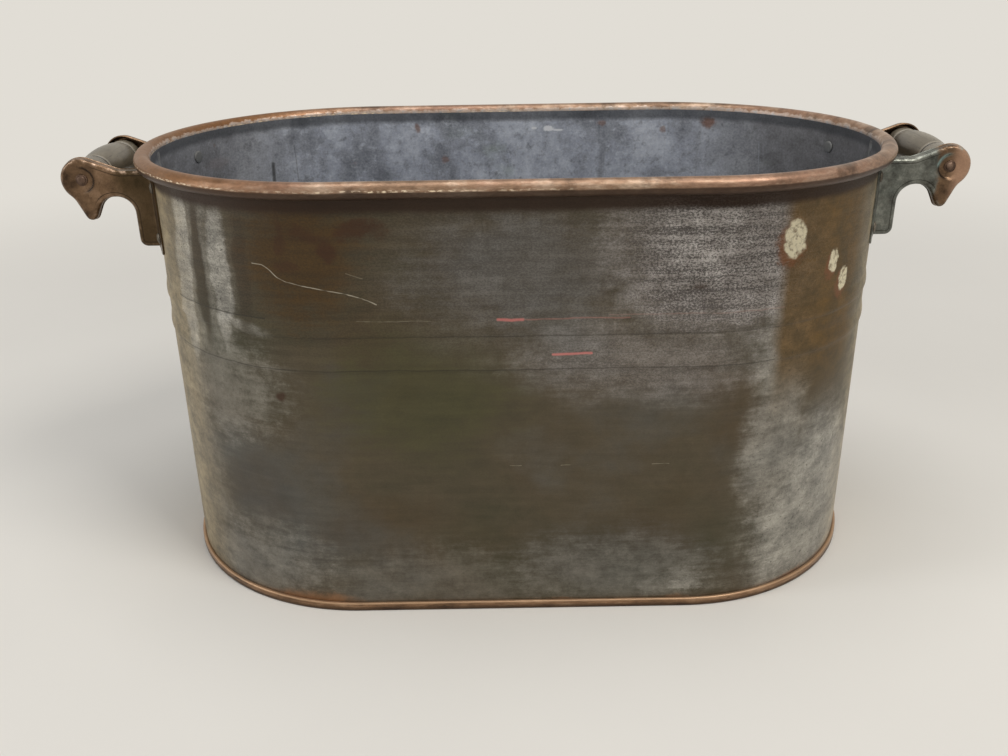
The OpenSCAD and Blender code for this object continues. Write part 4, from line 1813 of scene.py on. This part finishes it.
    def cup(self) -> tuple[list[Point3], list[list[int]], list[float]]:
        """Outside of one ear as an open sheet: skirt, rounded edge, dished face, fillet and flange.

        Returns:
            Points as out from the axis, depth behind the face and height from the axis; the faces; and
            how near each point is to the rounded edge.
        """
        mid = self.seat_r + self.sheet_t + self.fillet_r
        sweep = math.asin((self.face_y + self.fillet_r) / mid)
        cut = self.plan.half_run + mid * math.cos(sweep) - self.axis_x
        line, inwards, ring = self.outline(cut)
        rows: list[Point3] = [(-0.55, self.depth, 0.4), (-0.2, self.depth - 0.35, 0.6),
                              (0.0, self.depth - 1.1, 0.2), (0.0, self.bend_r + 1.0, 0.2)]
        for turn in np.linspace(0, 90, 9):
            share = math.radians(float(turn))
            edge = math.sin(2 * share) ** 0.7 if 0 < turn < 90 else 0.15
            rows.append((self.bend_r * (1 - math.cos(share)), self.bend_r * (1 - math.sin(share)), edge))
        rows += [(self.bend_r + 0.5, 0.2, -1.0), (self.bend_r + 1.1, 0.0, 0.0)]
        points: list[Point3] = []
        edges: list[float] = []
        count = len(line)
        for inset, depth, edge in rows:
            wall = self.plan.half_run + math.sqrt(self.seat_r ** 2 - (self.face_y - depth) ** 2) - self.axis_x
            level = inset >= self.bend_r
            for i in range(count):
                a, b = line[i] + inwards[i] * inset
                if i in (0, count - 1):
                    a = cut if level else wall
                points.append((float(max(a, wall)), depth, float(b)))
                edges.append(edge * min(1.0, max(0.0, (-a - 5) / 6)) if edge < 0 else edge)
        faces = grid_faces(len(rows), count, False)
        first = (len(rows) - 1) * count
        border = [Vector((points[first + i][0], points[first + i][2])) for i in range(count)]
        high, low = border[0].y, border[-1].y
        seat_zs = np.linspace(low, high, 40)
        inner = [Vector((cut, z)) for z in seat_zs[1:-1]]
        loop = border + inner
        turns = np.linspace(0, 2 * math.pi, 56, endpoint=False)
        rings = (self.hole_r, *self.dish_rings)
        extra = [Vector((r * math.cos(t), r * math.sin(t))) for r in rings for t in turns]
        grid = [(float(a), float(b)) for a in np.arange(cut + 1.2, 20, 1.5) for b in np.arange(-50, 20, 1.5)]
        extra += [Vector(place) for place in grid if math.hypot(*place) > 13.0]
        deep = self.inset(np.array([place[:] for place in extra]), ring)
        extra = [place for place, inside in zip(extra, deep) if inside > self.bend_r + 1.6]
        flat = loop + extra
        hoop = [(i, (i + 1) % len(loop)) for i in range(len(loop))]
        spots, _, triangles, sources, _, _ = delaunay_2d_cdt(flat, hoop, [], 1, 1e-5)
        index: list[int] = []
        for spot, source in zip(spots, sources):
            if source and source[0] < count:
                index.append(first + source[0])
            else:
                index.append(len(points))
                points.append((spot.x, self.sink(spot.x, spot.y), spot.y))
                edges.append(0.0)
        for triangle in triangles:
            middle = sum((spots[i] for i in triangle), Vector((0, 0))) / 3
            if middle.length > self.hole_r:
                faces.append([index[i] for i in triangle])
        for i in range(first, first + count):
            a, depth, b = points[i]
            points[i] = (a, depth + self.sink(a, b), b)
        self.flange(points, faces, edges, sweep, mid, seat_zs)
        return points, faces, edges

    def flange(self, points: list[Point3], faces: list[list[int]], edges: list[float],
               sweep: float, mid: float, seat_zs: np.ndarray) -> None:
        """Adds the fillet from the face to the wall, and the flange with its rounded corners.

        Args:
            points: Points of the ear, added to.
            faces: Faces of the ear, added to.
            edges: Nearness of the points to the rounded edge, added to.
            sweep: Angle round the tub's end at the fillet's middle.
            mid: Radius of the fillet's middle about the tub's end.
            seat_zs: Heights of the points on the face's end.
        """
        columns: list[tuple[float, float, float, float]] = []
        for share in np.linspace(0, 1, 7):
            turn = math.pi / 2 + share * (math.pi / 2 - sweep)
            a = self.plan.half_run + mid * math.cos(sweep) + self.fillet_r * math.cos(turn) - self.axis_x
            y = -mid * math.sin(sweep) + self.fillet_r * math.sin(turn)
            low = seat_zs[0] + share * (self.flange_low - seat_zs[0])
            high = seat_zs[-1] + share * (self.arm[1] - seat_zs[-1])
            columns.append((a, y, low, high))
        out_r = self.seat_r + self.sheet_t
        end = math.radians(self.flange_a)
        for angle in np.linspace(sweep, end, 12)[1:]:
            rest = (end - angle) * out_r
            left = max(0.0, self.flange_r - rest)
            corner = self.flange_r - math.sqrt(max(0.0, self.flange_r ** 2 - left ** 2))
            a = self.plan.half_run + out_r * math.cos(angle) - self.axis_x
            columns.append((a, -out_r * math.sin(angle), self.flange_low + corner, self.arm[1] - corner))
        start, tall = len(points), len(seat_zs)
        for a, y, low, high in columns:
            for z in np.linspace(low, high, tall):
                points.append((float(a), float(y + self.face_y), float(z)))
                edges.append(0.0)
        faces += grid_faces(len(columns), tall, False, start)

    def build(self) -> list[Piece]:
        """Makes the four ears.

        Returns:
            The pieces.
        """
        local, faces, edges = self.cup()
        for face, side in product(Face, Side):
            look = EarLook.KEPT_TIN if (side, face) == self.tinned else EarLook.WORN_COPPER
            node = f"{side.name.lower()}_{face.name.lower()}_ear"
            points = [(side.value * (self.axis_x + a), face.value * (self.face_y - depth), self.axis_z + b)
                      for a, depth, b in local]
            piece = make_piece(node + "_sheet", points, faces, self.finishes[look])
            numbers = {"edge": edges, "away": [-a for a, _, _ in local],
                       "crease": [self.crease(*place) for place in local]}
            for name, values in numbers.items():
                piece.data.attributes.new(name, "FLOAT", "POINT").data.foreach_set("value", values)
            work = bmesh.new()
            work.from_mesh(piece.data)
            bmesh.ops.remove_doubles(work, verts=work.verts, dist=2e-5)
            bmesh.ops.recalc_face_normals(work, faces=work.faces)
            level = face.value * self.face_y * MM
            front = min(work.faces, key=lambda part: abs(part.calc_center_median().y - level))
            if front.normal.y * face.value < 0:
                bmesh.ops.reverse_faces(work, faces=work.faces)
            work.to_mesh(piece.data)
            work.free()
            wall = piece.modifiers.new("thickness", "SOLIDIFY")
            wall.thickness = self.sheet_t * MM
            wall.offset = -1.0
            piece = plain_mesh(piece, node + "_skin")
            shade_smooth(piece, 50)
            self.pieces.append(settle(piece, "tub", node))
        return self.pieces


@dataclass
class GripSet:
    """Turned wooden grips on peened rods with washers, and the ears' rivets."""

    plan: TubPlan
    fasteners: FastenerTool
    finishes: Mapping[str, Material]
    axis_x: float = 320.5
    axis_z: float = 310.6
    half: float = 48.4
    journal_r: float = 11.9
    collar_out: float = 44.6
    collars_in: Point2 = (35.1, 22.6)
    collar_r: float = 12.5
    groove_w: float = 2.0
    barrel_r: float = 14.6
    swell: float = 2.0
    groove_r: float = 11.6
    bore_r: float = 2.58
    rod_r: float = 2.5
    peen_r: float = 3.3
    washer_r: float = 4.4
    washer_t: float = 0.9
    seat_y: float = 50.0
    peen_h: float = 1.5
    rivet_turn: float = 22.32
    rivet_zs: Point2 = (305.6, 268.2)
    washer_seed: int = 11
    rivet_seed: int = 21
    pieces: list[Piece] = field(default_factory=list)

    def across(self, name: str, profile: Sequence[Point2], side: Side, finish: str,
               steps: int = 96) -> Piece:
        """A piece turned about a grip's axis.

        Args:
            name: Name of the piece.
            profile: Radius, and distance to the rear of the tub's middle.
            side: End of the tub.
            finish: Name of the finish.
            steps: Steps in one turn.

        Returns:
            The piece.
        """
        points, faces = turned(profile, steps)
        x, z, y = points.T
        placed = np.stack([side.value * self.axis_x + x, y, self.axis_z + z], axis=1)
        piece = make_piece(name, placed, faces, self.finishes[finish])
        face_outwards(piece)
        shade_smooth(piece, 35)
        return piece

    def grip_end(self, low: float) -> list[Point2]:
        """Half section of one end of a grip.

        Args:
            low: Where its collar starts beside the groove.

        Returns:
            Radius and distance from the middle, from the bore to the start of the barrel.
        """
        high, edge, end_r = self.collar_out, low - self.groove_w, self.barrel_r - self.swell
        half, journal, collar, groove = self.half, self.journal_r, self.collar_r, self.groove_r
        return [(self.bore_r, half - 0.4), (self.bore_r + 0.4, half), (journal - 0.8, half),
                (journal, half - 0.8), (journal, high + 0.2), (collar - 0.4, high),
                (collar - 0.1, high - 0.4), (collar, high - 1.1),
                (collar + 0.1, (low + high) / 2), (collar, low + 1.0), (collar - 0.25, low + 0.3),
                (groove + 0.2, low - 0.15), (groove, low - 0.7), (groove + 0.15, edge + 0.5),
                (end_r - 0.3, edge - 0.1), (end_r - 0.05, edge - 0.7)]

    def grip_profile(self) -> list[Point2]:
        """Half section of a grip, from the bore at its rear end to the bore at its front end.

        Returns:
            Radius, and distance to the rear of the middle.
        """
        rear, front = (self.grip_end(low) for low in self.collars_in)
        top, low = self.collars_in[0] - self.groove_w, self.groove_w - self.collars_in[1]
        middle, half = (top + low) / 2, (top - low) / 2
        barrel = [(self.barrel_r - self.swell * ((y - middle) / half) ** 2, y)
                  for y in np.linspace(top - 1.5, low + 1.5, 28)]
        return rear + barrel + [(r, -y) for r, y in reversed(front)] + [rear[0]]

    def rod_profile(self) -> list[Point2]:
        """Half section of a rod with a domed peen at each end.

        Returns:
            Radius, and distance to the rear of the middle.
        """
        seat = self.seat_y + self.washer_t
        turns = np.linspace(math.pi / 2, 0, 9)
        half = [(max(0.0, self.peen_r * math.cos(t)), seat + self.peen_h * math.sin(t)) for t in turns]
        half += [(self.peen_r - 0.15, seat - 0.05), (self.rod_r, seat - 0.1), (self.rod_r, 30.0)]
        return half + [(r, -y) for r, y in reversed(half)]

    def washer(self) -> Piece:
        """Template of a burr washer.

        Returns:
            The washer, standing on its seat along Z.
        """
        r, t, hole = self.washer_r, self.washer_t, self.rod_r + 0.05
        profile = [(hole, 0.0), (r - 0.1, 0.0), (r, 0.25), (r - 0.1, t - 0.3), (r - 0.4, t - 0.08),
                   (r - 0.9, t), (hole, t), (hole, 0.0)]
        points, faces = turned(profile, 40)
        wobble = 1 + 0.03 * np.sin(3 * np.arctan2(points[:, 1], points[:, 0]))
        points[:, :2] *= np.where(np.hypot(points[:, 0], points[:, 1]) > hole + 0.1, wobble, 1.0)[:, None]
        template = make_piece("washer_template", points, faces)
        face_outwards(template)
        shade_smooth(template)
        return template

    def rivet(self) -> Piece:
        """Template of a rivet.

        Returns:
            The rivet along Z, with its origin on the outside of the wall and the flat head inside.
        """
        head_low, seat, upset, top = -1.98, -0.98, 1.4, 3.2
        profile = [(0.0, head_low), (3.6, head_low + 0.02), (4.5, head_low + 0.14), (4.9, head_low + 0.4),
                   (5.0, seat - 0.25), (4.9, seat), (2.25, seat), (2.25, upset), (3.9, upset),
                   (4.0, upset + 0.25), (3.8, upset + 0.7), (3.2, upset + 1.25), (2.2, top - 0.15),
                   (1.0, top), (0.0, top)]
        points, faces = turned(profile, 32)
        x, y, z = points.T
        dents = 0.14 * np.sin(3 * np.arctan2(y, x) + 0.7) * np.hypot(x, y) / 4
        points[:, 2] += np.where(z > upset + 0.5, dents, 0)
        template = make_piece("rivet_template", points, faces)
        face_outwards(template)
        shade_smooth(template)
        return template

    def build(self) -> list[Piece]:
        """Makes grips, rods, washers and rivets.

        Returns:
            The pieces.
        """
        washer, rivet = self.washer(), self.rivet()
        for number, side in enumerate(Side):
            name = side.name.lower()
            grip = self.across(f"{name}_grip_skin", self.grip_profile(), side, "wood")
            self.pieces.append(settle(grip, f"{name}_grip", f"{name}_grip"))
            rod = self.across(f"{name}_grip_rod_skin", self.rod_profile(), side, "rod", 40)
            self.pieces.append(settle(rod, "tub", f"{name}_grip_rod"))
            middle = Vector((side.value * self.axis_x, 0, self.axis_z))
            ways = [Vector((0, face.value, 0)) for face in Face]
            spots = [(middle + way * self.seat_y, way) for way in ways]
            seed = self.washer_seed + number
            burrs = self.fasteners.at(f"{name}_rod_burrs_skin", spots, washer, seed, self.finishes["washer"])
            self.pieces.append(settle(burrs, "tub", f"{name}_rod_burrs"))
            for face in Face:
                turn = math.radians(self.rivet_turn)
                out = Vector((side.value * math.cos(turn), face.value * math.sin(turn), 0))
                foot = Vector((side.value * self.plan.half_run, 0, 0)) + out * self.plan.wall_r
                spots = [(foot + Vector((0, 0, z)), out) for z in self.rivet_zs]
                node = f"{name}_{face.name.lower()}_rivets"
                seed = self.rivet_seed + 2 * number + (face is Face.REAR)
                rivets = self.fasteners.at(node + "_skin", spots, rivet, seed, self.finishes["rivet"])
                self.pieces.append(settle(rivets, "tub", node))
        for template in (washer, rivet):
            discard(template)
        return self.pieces


@dataclass(frozen=True)
class SoftBox:
    """Large soft lamp that looks at the tub."""

    name: str
    place: Point2
    height: float
    size: Point2
    power: float
    colour: Point3 = (1.0, 1.0, 1.0)


@dataclass
class Studio:
    """Pale floor, soft lamps and the camera at the photograph's angle."""

    eye: Point3 = (-12.8, -787.0, 467.0)
    yaw: float = 0.0021
    pitch: float = 0.411
    roll: float = 0.0155
    focal_px: float = 999.8
    image_w: float = 1008.0
    sensor_w: float = 36.0
    clip: Point2 = (0.02, 200.0)
    floor_reach: float = 9000.0
    plain_from: float = 450.0
    plain_at: float = 1700.0
    floor_tone: Colour = tone(232, 229, 223)
    plain_tone: Colour = tone(225, 221, 213)
    sky: float = 0.3
    aim_z: float = 160.0
    lamps: tuple[SoftBox, ...] = (
        SoftBox("key_lamp", (1000, -1000), 2100, (800, 800), 23.0, (1.0, 0.97, 0.92)),
        SoftBox("left_lamp", (-1500, -450), 800, (350, 1400), 5.5, (0.97, 0.98, 1.0)),
        SoftBox("top_lamp", (-100, -100), 2400, (1200, 1200), 14.5),
    )

    def build_camera(self) -> Piece:
        """Makes the camera.

        Returns:
            The camera object.
        """
        flat = math.cos(self.pitch)
        forward = Vector((math.sin(self.yaw) * flat, math.cos(self.yaw) * flat, -math.sin(self.pitch)))
        level = Vector((math.cos(self.yaw), -math.sin(self.yaw), 0))
        down = forward.cross(level)
        right = level * math.cos(self.roll) + down * math.sin(self.roll)
        up = level * math.sin(self.roll) - down * math.cos(self.roll)
        lens = bpy.data.cameras.new("photo_camera")
        lens.sensor_width = self.sensor_w
        lens.lens = self.focal_px / self.image_w * self.sensor_w
        lens.clip_start, lens.clip_end = self.clip
        camera = bpy.data.objects.new("photo_camera", lens)
        turn = Matrix((right, up, -forward)).transposed().to_4x4()
        camera.matrix_world = Matrix.Translation(Vector(self.eye) * MM) @ turn
        bpy.context.scene.collection.objects.link(camera)
        bpy.context.scene.camera = camera
        return camera

    def seen(self, book: NodeBook) -> Socket:
        """Whether a ray shows the background, straight or mirrored, and doesn't light the tub with it.

        Args:
            book: Tree of the floor or the world.

        Returns:
            1 where it does.
        """
        ray = book.add("ShaderNodeLightPath").outputs
        mirrored = book.math("MAXIMUM", ray["Is Glossy Ray"], ray["Is Transmission Ray"])
        return book.math("MAXIMUM", ray["Is Camera Ray"], mirrored)

    def build_floor(self) -> Piece:
        """Makes the pale floor, which runs out into the plain background.

        Returns:
            The floor object.
        """
        book = ShadeBook("pale_floor")
        place = book.place()
        shade = book.noise(place, 3.0, 4, 0.5)
        colour = book.ramp(shade, (0.3, self.floor_tone), (0.7, tone(236, 233, 227)))
        normal = book.bump(book.noise(place, 400, 3), 0.05, 0.2)
        inputs = {"Base Color": colour, "Roughness": 0.7, "Normal": normal}
        near = book.add("ShaderNodeBsdfPrincipled", inputs)
        plain = book.add("ShaderNodeEmission", {"Color": self.plain_tone})
        far = book.band(book.vector("LENGTH", place), self.plain_from * MM, self.plain_at * MM)
        share = book.times(far, self.seen(book))
        both = book.add("ShaderNodeMixShader", {0: share, 1: near.outputs[0], 2: plain.outputs[0]})
        book.add("ShaderNodeOutputMaterial", {"Surface": both.outputs[0]})
        reach = self.floor_reach
        corners = [(-reach, -reach, 0), (reach, -reach, 0), (reach, reach, 0), (-reach, reach, 0)]
        floor = make_piece("pale_floor", corners, [(0, 1, 2, 3)], book.material)
        return floor

    def build_light(self) -> None:
        """Makes the soft light from all round, the pale background and the lamps."""
        world = bpy.data.worlds.new("soft_room")
        world.use_nodes = True
        world.node_tree.nodes.clear()
        book = NodeBook(world.node_tree)
        light = book.add("ShaderNodeBackground", {"Color": (1.0, 0.99, 0.97, 1.0), "Strength": self.sky})
        back = book.add("ShaderNodeBackground", {"Color": self.plain_tone})
        both = book.add("ShaderNodeMixShader", {0: self.seen(book), 1: light.outputs[0], 2: back.outputs[0]})
        book.add("ShaderNodeOutputWorld", {"Surface": both.outputs[0]})
        bpy.context.scene.world = world
        for box in self.lamps:
            light = bpy.data.lights.new(box.name, "AREA")
            light.shape = "RECTANGLE"
            light.size, light.size_y = box.size[0] * MM, box.size[1] * MM
            light.energy = box.power
            light.color = box.colour
            lamp = bpy.data.objects.new(box.name, light)
            lamp.location = Vector((*box.place, box.height)) * MM
            way = Vector((0, 0, self.aim_z * MM)) - lamp.location
            lamp.rotation_euler = way.to_track_quat("-Z", "Y").to_euler()
            bpy.context.scene.collection.objects.link(lamp)

    def build(self) -> None:
        """Sets the stage."""
        self.build_camera()
        self.build_floor()
        self.build_light()
        bpy.context.scene.view_settings.view_transform = "Standard"


def main() -> None:
    """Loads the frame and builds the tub's pieces in order."""
    logging.basicConfig(level=logging.INFO, format="%(message)s")
    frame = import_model()
    plan = TubPlan()
    Studio().build()
    body_finishes = {
        Face.FRONT.name: TinnedWall(FRONT_MARKS).make(),
        Face.REAR.name: TinnedWall(REAR_MARKS).make(),
        "inside": TinnedInside().make(),
        "rim": RimCopper().make(),
        "foot": FootCopper().make(),
        "solder": Solder().make(),
    }
    small_finishes = {
        "wood": GripWood().make(),
        "rod": PlainMetal("rod_end", tone(66, 50, 40), tone(104, 82, 68), tone(150, 126, 108)).make(),
        "washer": PlainMetal("burr_washer", tone(62, 46, 36), tone(96, 74, 60), tone(134, 108, 90)).make(),
        "rivet": PlainMetal("rivet_metal", tone(66, 58, 48), tone(98, 90, 78), tone(140, 132, 118),
                            tone(134, 135, 134)).make(),
    }
    pieces = TubBody(plan, SweepTool(), body_finishes).build()
    pieces += EarSet(plan, {look: EarMetal(look).make() for look in EarLook}).build()
    pieces += GripSet(plan, FastenerTool(), small_finishes).build()
    wire = frame["nodes"]["rim_wire"]
    wire.data.materials.clear()
    steel = PlainMetal("rim_wire_steel", tone(70, 70, 72), tone(110, 110, 112), tone(150, 150, 150))
    wire.data.materials.append(steel.make())
    for piece in pieces:
        LOG.info("%s: %d faces", piece.name, len(piece.data.polygons))


if __name__ == "__main__":
    main()
